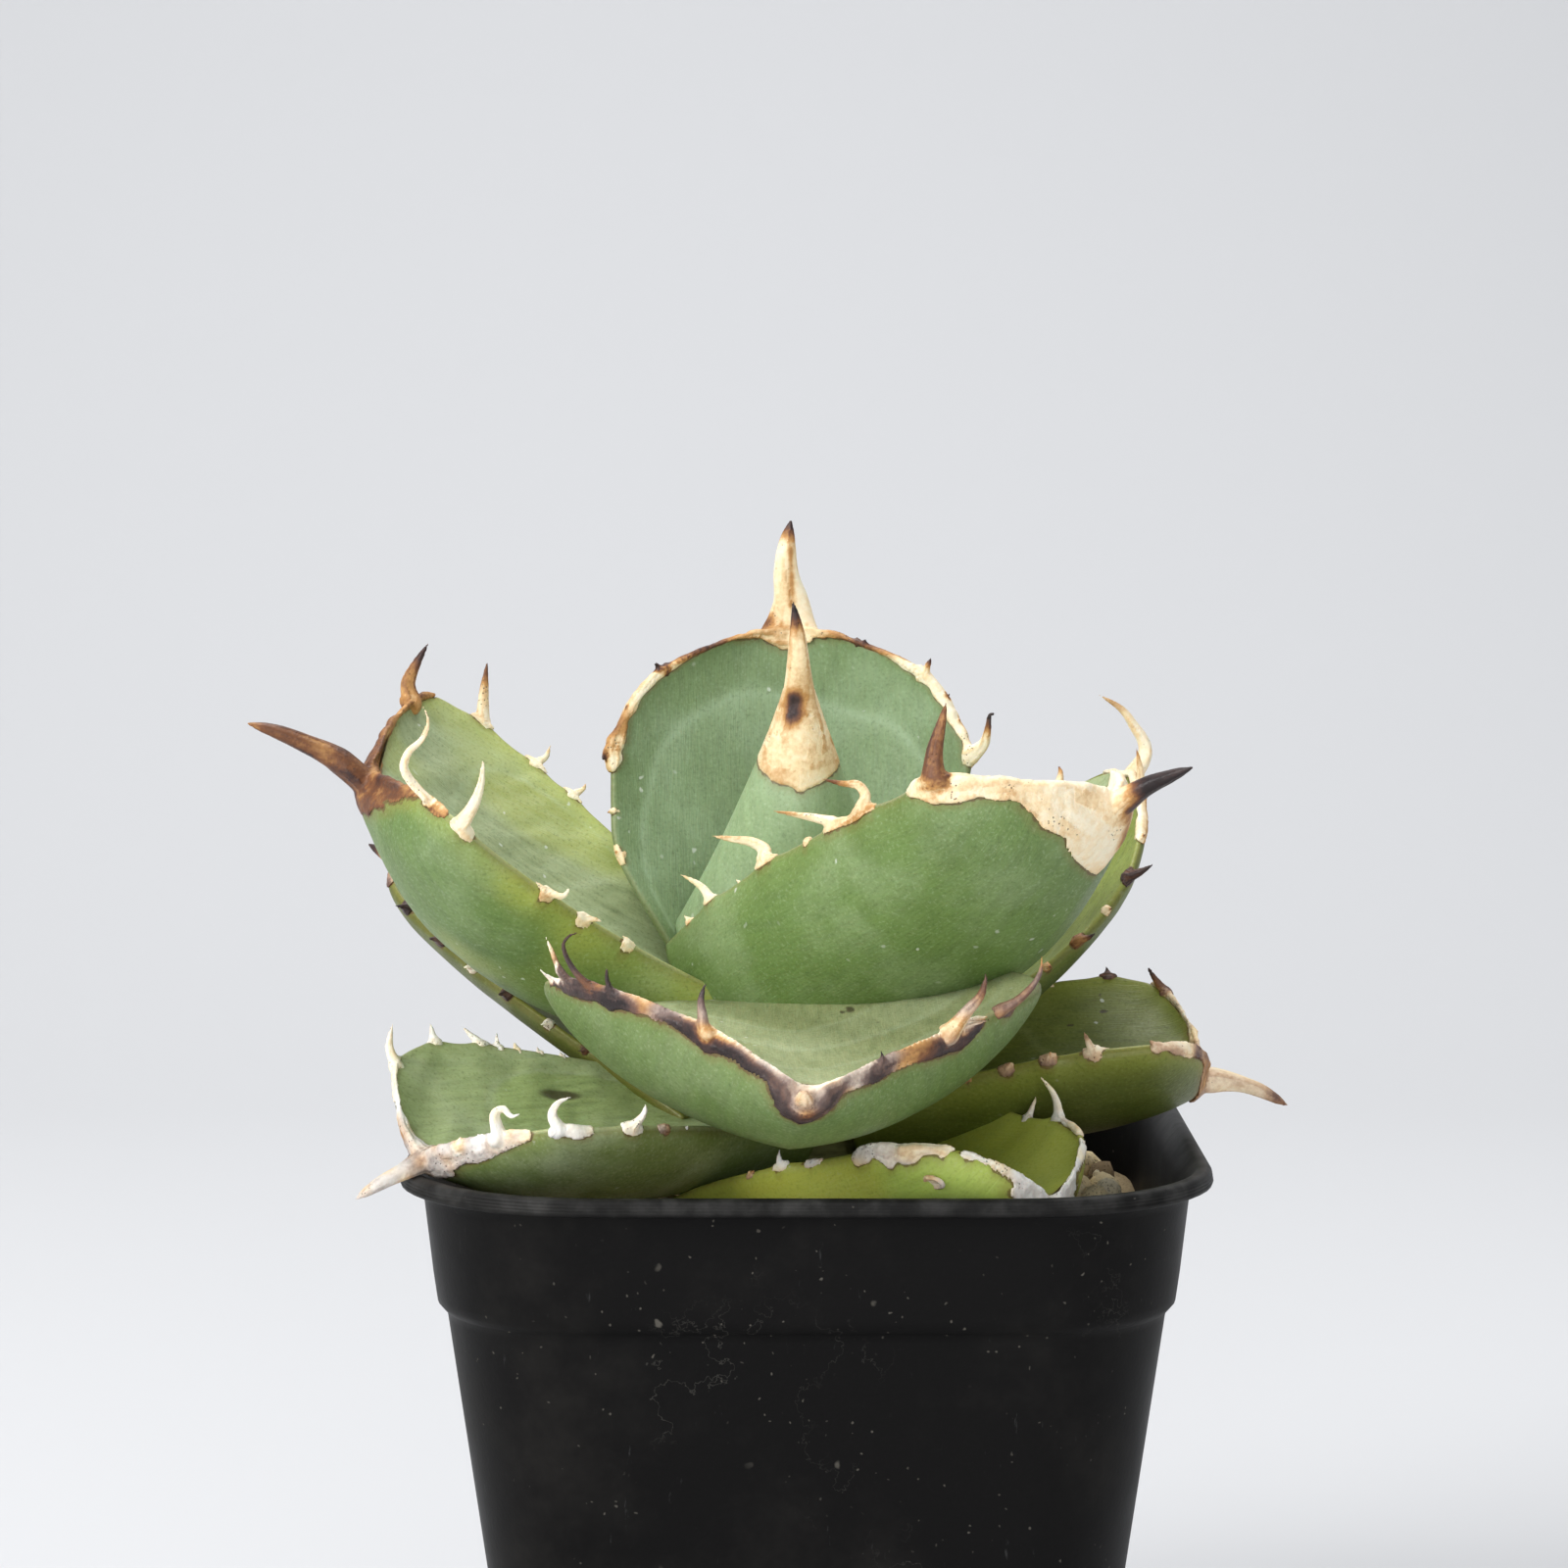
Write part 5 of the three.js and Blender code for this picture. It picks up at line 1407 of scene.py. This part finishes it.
class SoilLook(bpy.types.PropertyGroup):
    """Sizes and colour of the grit"""

    grain: FloatProperty(
        name="Grain", default=0.0027, min=0.0005, max=0.01, subtype="DISTANCE",
        description="Radius of a large grain",
    )
    seed: IntProperty(
        name="Seed", default=4, min=0,
        description="Number that the random places start from",
    )
    pale: colour_setting("Pale grain", "Colour of the palest grains", (0.95, 0.77, 0.44))
    dark: colour_setting("Dark grain", "Colour of the darkest grains", (0.2, 0.14, 0.08))


class StageLook(bpy.types.PropertyGroup):
    """Floor, backdrop and light"""

    floor: colour_setting("Floor", "Colour of the floor and backdrop", (0.62, 0.62, 0.63))
    light: FloatProperty(
        name="Light", default=12.0, min=0, unit="POWER",
        description="Strength of the large soft light",
    )
    sky: FloatProperty(
        name="Sky", default=0.42, min=0,
        description="Strength of the even light all round",
    )


# Leaf finishes: slot, colours of the upper face, the underside and the waxy film, and the film's amount
FINISHES = {
    # Mint: leaf 01's paler young green, partly painted light, as if lit from the upper left
    "mint": ("leaf_blue_green", (0.3, 0.4, 0.19), (0.3, 0.42, 0.21), (0.6, 0.7, 0.5), 0.25),
    # Blue green: leaf 02's own colour, partly painted shade, darker as if shaded behind leaf 01
    "blue_green": ("leaf_blue_green", (0.17, 0.255, 0.1), (0.17, 0.255, 0.095), (0.4, 0.52, 0.34), 0.3),
    "fresh": ("leaf_green", (0.36, 0.42, 0.22), (0.132, 0.222, 0.048), (0.48, 0.58, 0.36), 0.22),
    "grey_green": ("leaf_green", (0.33, 0.36, 0.17), (0.125, 0.205, 0.046), (0.48, 0.54, 0.34), 0.16),
    "olive": ("leaf_green", (0.16, 0.19, 0.024), (0.088, 0.112, 0.011), (0.33, 0.37, 0.13), 0.09),
    # Worn: leaf 09's old weathered look, and painted light: a paler copy of olive's upper face where leaves
    # 04, 06 and 07 shade it
    "worn": ("leaf_green", (0.4, 0.5, 0.2), (0.13, 0.19, 0.03), (0.55, 0.6, 0.42), 0.3),
    # Yellow green: leaf 11's faded yellow; its underside is also painted lighter, as if lit, where leaf 06
    # shades it
    "yellow_green": ("leaf_yellow_green", (0.38, 0.42, 0.035), (0.42, 0.56, 0.1), (0.5, 0.55, 0.28), 0.1),
    "dull_yellow": ("leaf_yellow_green", (0.22, 0.27, 0.035), (0.09, 0.125, 0.022), (0.34, 0.4, 0.2), 0.1),
}


class AGAVE_OT_leaves(bpy.types.Operator):
    """Build the green blade of every leaf"""

    bl_idname = "agave.leaves"
    bl_label = "Leaves"

    def execute(self, context):
        look = context.scene.agave_leaves
        speck_group()
        skin = leaf_skin_group()
        materials = {finish: leaf_material(finish, skin, look) for finish in FINISHES}
        for entry in LEAVES:
            build_blade(Leaf(entry), look.spacing, materials)
        return {"FINISHED"}


class AGAVE_OT_horn(bpy.types.Operator):
    """Build the horny edge, cap, teeth and spine of every leaf"""

    bl_idname = "agave.horn"
    bl_label = "Horn"

    def execute(self, context):
        look = context.scene.agave_leaves
        material = horn_material()
        for entry in LEAVES:
            build_horn(Leaf(entry), look.voxel, material)
        return {"FINISHED"}


# Pot

def square_ring(half, corner, height, corner_steps, side_steps=PLAIN_SIDE_STEPS, sag=0.0):
    """One level of the pot: a square with round corners, as points in a row."""
    points = []
    inner = half - corner
    for quadrant in range(4):
        turn = quadrant * math.pi / 2
        centre = np.array([inner, inner])
        arc = np.linspace(0, math.pi / 2, corner_steps + 1)
        rounded = centre + corner * np.stack([np.cos(arc), np.sin(arc)], -1)
        side = np.linspace(inner, -inner, side_steps + 2)[1:-1]
        bow = sag * (1 - (side / max(inner, 1e-6)) ** 2)
        straight = np.stack([side, half - bow], -1)
        flat = np.vstack([rounded, straight])
        cos, sin = math.cos(turn), math.sin(turn)
        points.append(flat @ np.array([[cos, sin], [-sin, cos]]))
    flat = np.vstack(points)
    return np.hstack([flat, np.full((len(flat), 1), height)])


def pot_profile(sag):
    """Levels of the pot from the middle of its underside, up outside and down inside."""
    step = BAND_FOOT
    lip_low = POT_HEIGHT - LIP_DEPTH
    levels = [
        (0.4, 0.1, 0.0, 0),
        (12, 3, 0, 0),
        (BODY_HALF_BOTTOM - 1.4, 9.8, 0.0, 0),
        (BODY_HALF_BOTTOM - 0.5, 10.6, 0.3, 0),
    ]
    for share in (0.03, 0.1, 0.25, 0.45, 0.65, 0.85, 0.985):
        half = mix(BODY_HALF_BOTTOM, BODY_HALF_TOP, share)
        levels.append((half, mix(11, 16, share), mix(1.2, step, share), sag * math.sin(math.pi * share)))
    levels += [
        (BODY_HALF_TOP, 16, step - 0.25, 0),
        (BODY_HALF_TOP + 0.35, 16.3, step + 0.05, 0),
        (BAND_HALF_BOTTOM, 17, step + 0.8, 0),
        (BAND_HALF_BOTTOM + 0.12, 17.1, step + 1.6, 0),
    ]
    for share in (0.3, 0.6, 0.9):
        half = mix(BAND_HALF_BOTTOM, BAND_HALF_TOP, share)
        levels.append((half, mix(17, 20, share), mix(step, lip_low, share), 0.2 * sag))
    levels += [
        (BAND_HALF_TOP, 20, lip_low - 0.35, 0),
        (BAND_HALF_TOP + 0.3, 20.2, lip_low - 0.05, 0),
        (LIP_HALF - 0.5, 22, lip_low, 0),
        (LIP_HALF - 0.12, 22.3, lip_low + 0.2, 0),
        (LIP_HALF, 22.4, lip_low + 0.5, 0),
    ]
    for k in range(3):
        base = lip_low + 0.62 + k * 0.34
        for inset, corner, rise in ((0.01, 22.4, 0), (0.13, 22.3, 0.09), (0.03, 22.4, 0.18)):
            levels.append((LIP_HALF - inset - 0.05 * k, corner, base + rise, 0))
    levels += [
        (LIP_HALF - 0.35, 22.2, POT_HEIGHT - 0.2, 0),
        (LIP_HALF - 0.7, 22, POT_HEIGHT - 0.03, 0),
        (LIP_HALF - 1.25, 21.6, POT_HEIGHT, 0),
        (LIP_HALF - 1.7, 21.2, POT_HEIGHT - 0.12, 0),
        (LIP_HALF - 2.2, 20.8, POT_HEIGHT - 0.7, 0),
        (BAND_HALF_TOP - WALL, 19, lip_low - 0.6, 0),
        (BAND_HALF_BOTTOM - WALL, 16, step + 0.8, 0),
        (BODY_HALF_TOP - WALL, 15, step, 0),
        (BODY_HALF_BOTTOM + SIDE_SLOPE * FLOOR - WALL + 0.6, 10.3, FLOOR + 1.2, 0),
        (BODY_HALF_BOTTOM + SIDE_SLOPE * FLOOR - WALL - 0.6, 9.5, FLOOR, 0),
        (0.4, 0.1, FLOOR, 0),
    ]
    return levels


def pot_material(look):
    """Matt black plastic with dust, water marks and fine scratches."""
    material, helper, shader = new_material("black pot plastic", 0.1)
    place = helper.place()
    cloudy = helper.noise(place, 45, 5, 0.65)
    scratches = helper.noise(helper.place((1, 1, 0.12)), 900, 5, 0.7)
    from_line = helper.maths("ABSOLUTE", helper.maths("SUBTRACT", helper.noise(place, 75, 6, 0.62), 0.5))
    wetted = helper.remap(helper.noise(place, 33, 3), 0.55, 0.66)
    tide = helper.times(helper.remap(from_line, 0.004, 0.0015), wetted)
    specks = helper.maths("MAXIMUM", helper.dust(520, 0.012), helper.dust(1500, 0.07))
    height_up = helper.node("ShaderNodeSeparateXYZ", {0: place}).outputs["Z"]
    wear = helper.remap(helper.noise(place, 300, 4), 0.35, 0.75, 0.02, 0.1)
    layers = (
        (helper.remap(cloudy, 0.45, 0.8, 0, 0.025), (0.4, 0.37, 0.32)),
        (helper.remap(scratches, 0.66, 0.8, 0, 0.12), (0.3, 0.3, 0.3)),
        (helper.times(tide, 0.07), (0.4, 0.38, 0.33)),
        (helper.times(specks, 0.14), (0.6, 0.55, 0.46)),
        (helper.times(helper.remap(height_up, 0.0776, 0.0792), wear), (0.4, 0.39, 0.37)),
    )
    colour = (*look.plastic, 1)
    for share, dirt in layers:
        colour = helper.blend(share, colour, dirt)
    rough = helper.plus(helper.remap(cloudy, 0.3, 0.8, 0.42, 0.56), helper.times(specks, 0.3))
    height = helper.plus(helper.times(helper.noise(place, 2200, 2), 0.4), helper.noise(place, 160, 2))
    cover(helper, shader, colour, rough, height, 0.00008, 0.5)
    return material


class AGAVE_OT_pot(bpy.types.Operator):
    """Build the square nursery pot"""

    bl_idname = "agave.pot"
    bl_label = "Pot"

    def execute(self, context):
        look = context.scene.agave_pot
        rings = [
            square_ring(half, corner, height, look.corner_steps, POT_SIDE_STEPS, sag)
            for half, corner, height, sag in pot_profile(look.sag)
        ]
        points, faces = closed_tube(np.vstack(rings), len(rings[0]))
        made = make_object("pot_moulded", points, faces, material=pot_material(look))
        self.cut_drains(made)
        place_piece(made, "pot")
        return {"FINISHED"}

    def cut_drains(self, made):
        cutters = bmesh.new()
        for x in (-1, 1):
            for y in (-1, 1):
                ring = bmesh.ops.create_cone(
                    cutters, cap_ends=True, segments=32,
                    radius1=DRAIN_RADIUS * MM, radius2=DRAIN_RADIUS * MM, depth=FLOOR * 4 * MM,
                )
                place = Vector((x, y, 0)) * DRAIN_OFFSET * MM
                bmesh.ops.translate(cutters, verts=ring["verts"], vec=place)
        tool = linked("drains", shell_mesh("drains", cutters))
        cut = made.modifiers.new("drains", "BOOLEAN")
        cut.operation = "DIFFERENCE"
        cut.solver = "EXACT"
        cut.object = tool
        result = evaluated_mesh(made)
        made.modifiers.remove(cut)
        made.data = result
        made.data.shade_smooth()
        drop(tool)


# Soil

def grain_shapes(count, radius, seed):
    """A hidden collection of angular grains to scatter."""
    shapes = bpy.data.collections.new("grain shapes")
    for k in range(count):
        body = bmesh.new()
        bmesh.ops.create_icosphere(body, subdivisions=2, radius=radius)
        points = np.array([v.co for v in body.verts])
        rough = noise(points / radius * 1.1 + 9 * k, seed + k) * 0.3
        rough = rough + noise(points / radius * 2.6, seed + 40 + k) * 0.12
        stretch = np.array([1.0, 0.86 - 0.05 * (k % 3), 0.74 + 0.06 * (k % 2)])
        for vertex, swell in zip(body.verts, rough):
            vertex.co = Vector(np.array(vertex.co) * (1 + swell) * stretch)
        name = "grain %d" % k
        shapes.objects.link(bpy.data.objects.new(name, shell_mesh(name, body)))
    return shapes


def scatter_tree(shapes, material):
    """Geometry nodes that scatter grains over a surface and fuse them into one mesh of plain faces."""
    tree = bpy.data.node_groups.new("Scatter grains", "GeometryNodeTree")
    tree.interface.new_socket("Ground", in_out="INPUT", socket_type="NodeSocketGeometry")
    settings = (
        ("Spacing", "NodeSocketFloat", 0.004),
        ("Smallest", "NodeSocketFloat", 0.6),
        ("Largest", "NodeSocketFloat", 1.1),
        ("Seed", "NodeSocketInt", 1),
        ("Sink", "NodeSocketFloat", 0.0005),
    )
    for label, kind, default in settings:
        tree.interface.new_socket(label, in_out="INPUT", socket_type=kind).default_value = default
    tree.interface.new_socket("Grains", in_out="OUTPUT", socket_type="NodeSocketGeometry")
    helper = Tree(tree)
    given = helper.node("NodeGroupInput").outputs
    result = helper.node("NodeGroupOutput").inputs

    inputs = {"Mesh": given["Ground"], "Distance Min": given["Spacing"], "Density Max": 4e5}
    inputs["Seed"] = given["Seed"]
    scatter = helper.node("GeometryNodeDistributePointsOnFaces", inputs, distribute_method="POISSON")
    drop_by = helper.node("FunctionNodeRandomValue", {3: given["Sink"]}, data_type="FLOAT").outputs[1]
    offset = helper.node("ShaderNodeCombineXYZ", {"Z": helper.times(drop_by, -1)}).outputs[0]
    inputs = {"Geometry": scatter.outputs["Points"], "Offset": offset}
    lowered = helper.node("GeometryNodeSetPosition", inputs).outputs["Geometry"]

    inputs = {"Collection": shapes, "Separate Children": True, "Reset Children": True}
    choice = helper.node("GeometryNodeCollectionInfo", inputs).outputs[0]
    whole_turn = (6.28, 6.28, 6.28)
    spin = helper.node("FunctionNodeRandomValue", {1: whole_turn}, data_type="FLOAT_VECTOR").outputs[0]
    inputs = {2: given["Smallest"], 3: given["Largest"]}
    size = helper.node("FunctionNodeRandomValue", inputs, data_type="FLOAT").outputs[1]
    inputs = {"Points": lowered, "Instance": choice, "Rotation": spin, "Scale": size, "Pick Instance": True}
    grains = helper.node("GeometryNodeInstanceOnPoints", inputs).outputs["Instances"]

    chance = helper.node("FunctionNodeRandomValue", {"Seed": 77}, data_type="FLOAT").outputs[1]
    inputs = {"Geometry": grains, "Name": "grain_tint", "Value": chance}
    tint = helper.node("GeometryNodeStoreNamedAttribute", inputs, data_type="FLOAT", domain="INSTANCE")
    real = helper.node("GeometryNodeRealizeInstances", {"Geometry": tint.outputs["Geometry"]})
    inputs = {"Geometry": real.outputs["Geometry"], "Material": material}
    paint = helper.node("GeometryNodeSetMaterial", inputs)
    helper.feed(result["Grains"], paint.outputs["Geometry"])
    return tree


def scattered(ground, tree, settings):
    """Runs the scatter on a ground object, and returns its plain mesh."""
    modifier = ground.modifiers.new("scatter", "NODES")
    modifier.node_group = tree
    sockets = {item.name: item.identifier for item in tree.interface.items_tree if item.in_out == "INPUT"}
    for label, value in settings:
        modifier[sockets[label]] = value
    mesh = evaluated_mesh(ground)
    ground.modifiers.remove(modifier)
    return mesh


def soil_material(look):
    """Pumice and bark grains of several tints, mottled and full of pores."""
    material, helper, shader = new_material("pumice grit", 0.2)
    place = helper.place()
    colour = helper.ramp(
        helper.attribute("grain_tint"),
        (0.0, tuple(look.dark)),
        (0.1, (0.42, 0.31, 0.17)),
        (0.3, (0.76, 0.63, 0.4)),
        (0.75, tuple(look.pale)),
        (1.0, (0.85, 0.78, 0.6)),
    )
    mottled = helper.noise(place, 700, 4, 0.65)
    colour = helper.blend(helper.remap(mottled, 0.4, 0.8, 0, 0.25), colour, (0.24, 0.17, 0.09))
    pores = helper.remap(helper.cells(place, 2600), 0.32, 0.12)
    colour = helper.blend(helper.times(pores, 0.45), colour, (0.06, 0.04, 0.025))
    height = helper.maths("SUBTRACT", mottled, helper.times(pores, 0.7))
    cover(helper, shader, colour, 0.93, height, 0.0004, 0.8)
    return material


class AGAVE_OT_soil(bpy.types.Operator):
    """Fill the pot with grit and scatter grains on top"""

    bl_idname = "agave.soil"
    bl_label = "Soil"

    def execute(self, context):
        look = context.scene.agave_soil
        material = soil_material(look)
        plug = self.build_plug()
        ground = self.build_ground()
        shapes = grain_shapes(GRAIN_SHAPES, look.grain, look.seed)
        tree = scatter_tree(shapes, material)
        labels = ("Spacing", "Smallest", "Largest", "Seed", "Sink")
        layers = (
            (look.grain * 1.35, 0.7, 1.08, look.seed, 0.0016),
            (look.grain * 0.9, 0.22, 0.5, look.seed + 1, 0.0006),
        )
        meshes = [scattered(ground, tree, zip(labels, layer)) for layer in layers]
        joined = bmesh.new()
        for mesh in [plug, *meshes]:
            joined.from_mesh(mesh)
        whole = shell_mesh("soil_grit", joined)
        whole.materials.append(material)
        for polygon in whole.polygons:
            polygon.material_index = 0
        whole.shade_smooth()
        place_piece(linked("soil_grit", whole), "soil")
        drop(ground, *shapes.objects)
        bpy.data.collections.remove(shapes)
        return {"FINISHED"}

    def build_plug(self):
        """Bare soil under the grains."""
        clear = WALL + 0.3
        top = BAND_HALF_BOTTOM + 0.9 - clear
        low = 2.4
        levels = [
            (0.4, 0.1, low),
            (BODY_HALF_BOTTOM + SIDE_SLOPE * low - clear - 0.6, 9, low),
            (BODY_HALF_TOP - clear - 0.4, 14.5, BAND_FOOT),
            (BAND_HALF_BOTTOM - clear, 15.7, BAND_FOOT + 1.2),
            (top - 0.4, 17, SOIL_LEVEL - 2.2),
            (top - 8, 12, SOIL_LEVEL - 2),
            (0.4, 0.1, SOIL_LEVEL - 2),
        ]
        rings = [square_ring(*level, PLAIN_CORNER_STEPS) for level in levels]
        points, faces = closed_tube(np.vstack(rings), len(rings[0]))
        mesh = outward_mesh("plug", points * MM, faces)
        tint = mesh.attributes.new("grain_tint", "FLOAT", "POINT")
        tint.data.foreach_set("value", np.full(len(points), 0.12, np.float32))
        return mesh

    def build_ground(self):
        """The sheet that grains are scattered on."""
        half = BAND_HALF_BOTTOM - WALL - 3.4
        ring = square_ring(half, 14, SOIL_LEVEL - 0.6, PLAIN_CORNER_STEPS)
        points = np.vstack([ring, [[0, 0, SOIL_LEVEL - 0.2]]])
        size = len(ring)
        faces = [[size, k, (k + 1) % size] for k in range(size)]
        mesh = bpy.data.meshes.new("ground")
        mesh.from_pydata((points * MM).tolist(), [], faces)
        return linked("ground", mesh)


class AGAVE_OT_stem(bpy.types.Operator):
    """Give the stem in the middle its finish"""

    bl_idname = "agave.stem"
    bl_label = "Stem"

    def execute(self, context):
        material, helper, shader = new_material("pale stem", 0.3)
        fibres = helper.noise(helper.place((1, 1, 3)), 260, 4)
        colour = helper.ramp(
            fibres,
            (0.25, (0.1, 0.09, 0.03)),
            (0.6, (0.3, 0.3, 0.12)),
            (0.9, (0.45, 0.42, 0.22)),
        )
        cover(helper, shader, colour, 0.7, fibres, 0.0004, 0.6)
        stem = frame["nodes"]["stem"]
        stem.data.materials.clear()
        stem.data.materials.append(material)
        return {"FINISHED"}


class AGAVE_OT_stage(bpy.types.Operator):
    """Set the floor, backdrop, lights and camera"""

    bl_idname = "agave.stage"
    bl_label = "Stage"

    def execute(self, context):
        look = context.scene.agave_stage
        self.build_sweep(look)
        for name, place, aim_height, size, share in LIGHTS:
            self.add_light(name, place, aim_height, size, look.light * share)
        world = bpy.data.worlds.new("even light")
        world.use_nodes = True
        background = world.node_tree.nodes["Background"]
        background.inputs["Color"].default_value = (0.9, 0.95, 1.0, 1)
        background.inputs["Strength"].default_value = look.sky
        context.scene.world = world
        context.scene.view_settings.view_transform = "Standard"
        self.add_camera(context)
        return {"FINISHED"}

    def build_sweep(self, look):
        """A pale floor that curves up into a backdrop behind the pot."""
        material, _, shader = new_material("pale stage", 0.5, Roughness=0.9)
        shader.inputs["Base Color"].default_value = (*look.floor, 1)
        bend = 0.5
        profile = [(-1.6, 0.0), (bend, 0.0)]
        for angle in np.linspace(0.1, math.pi / 2, 14):
            profile.append((bend + bend * math.sin(angle), bend - bend * math.cos(angle)))
        profile.append((1.0, 2.0))
        points = [(x, y, z) for y, z in profile for x in (-2.0, 2.0)]
        faces = [(2 * k, 2 * k + 1, 2 * k + 3, 2 * k + 2) for k in range(len(profile) - 1)]
        mesh = bpy.data.meshes.new("stage_sweep")
        mesh.from_pydata(points, [], faces)
        mesh.shade_smooth()
        mesh.materials.append(material)
        sweep = linked("stage_sweep", mesh)

    def add_light(self, name, place, aim_height, size, power):
        data = bpy.data.lights.new(name, "AREA")
        data.shape = "DISK"
        data.size = size
        data.energy = power
        lamp = linked(name, data)
        lamp.location = place
        aim = Vector((0.0, 0.0, aim_height)) - Vector(place)
        lamp.rotation_euler = aim.to_track_quat("-Z", "Y").to_euler()

    def add_camera(self, context):
        data = bpy.data.cameras.new("camera")
        data.sensor_width = 36
        data.sensor_fit = "HORIZONTAL"
        data.lens = CAMERA_LENS
        data.clip_start = 0.02
        data.clip_end = 20
        camera = linked("camera", data)
        camera.location = Vector(CAMERA_PLACE) * MM
        camera.rotation_euler = (math.radians(90 - CAMERA_PITCH), 0, 0)
        context.scene.camera = camera


class AGAVE_PT_panel(bpy.types.Panel):
    """Lists the steps that build the plant"""

    bl_idname = "AGAVE_PT_panel"
    bl_label = "Potted Agave"
    bl_space_type = "VIEW_3D"
    bl_region_type = "UI"
    bl_category = "Agave"

    def draw(self, context):
        scene = context.scene
        for group, steps in (
            (scene.agave_leaves, ("agave.leaves", "agave.horn", "agave.stem")),
            (scene.agave_pot, ("agave.pot",)),
            (scene.agave_soil, ("agave.soil",)),
            (scene.agave_stage, ("agave.stage",)),
        ):
            box = self.layout.box()
            for key in group.__annotations__:
                box.prop(group, key)
            for step in steps:
                box.operator(step)


GROUPS = {"agave_leaves": LeafLook, "agave_pot": PotLook, "agave_soil": SoilLook, "agave_stage": StageLook}
OPERATORS = (AGAVE_OT_leaves, AGAVE_OT_horn, AGAVE_OT_stem, AGAVE_OT_pot, AGAVE_OT_soil, AGAVE_OT_stage)


def register():
    for each in (*GROUPS.values(), *OPERATORS, AGAVE_PT_panel):
        bpy.utils.register_class(each)
    for key, group in GROUPS.items():
        setattr(bpy.types.Scene, key, PointerProperty(type=group))


def unregister():
    for key in GROUPS:
        delattr(bpy.types.Scene, key)
    for each in reversed((*GROUPS.values(), *OPERATORS, AGAVE_PT_panel)):
        bpy.utils.unregister_class(each)


def main():
    register()
    for operator in OPERATORS:
        step = operator.bl_idname.split(".")[1]
        getattr(bpy.ops.agave, step)()
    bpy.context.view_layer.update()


if __name__ == "__main__":
    main()
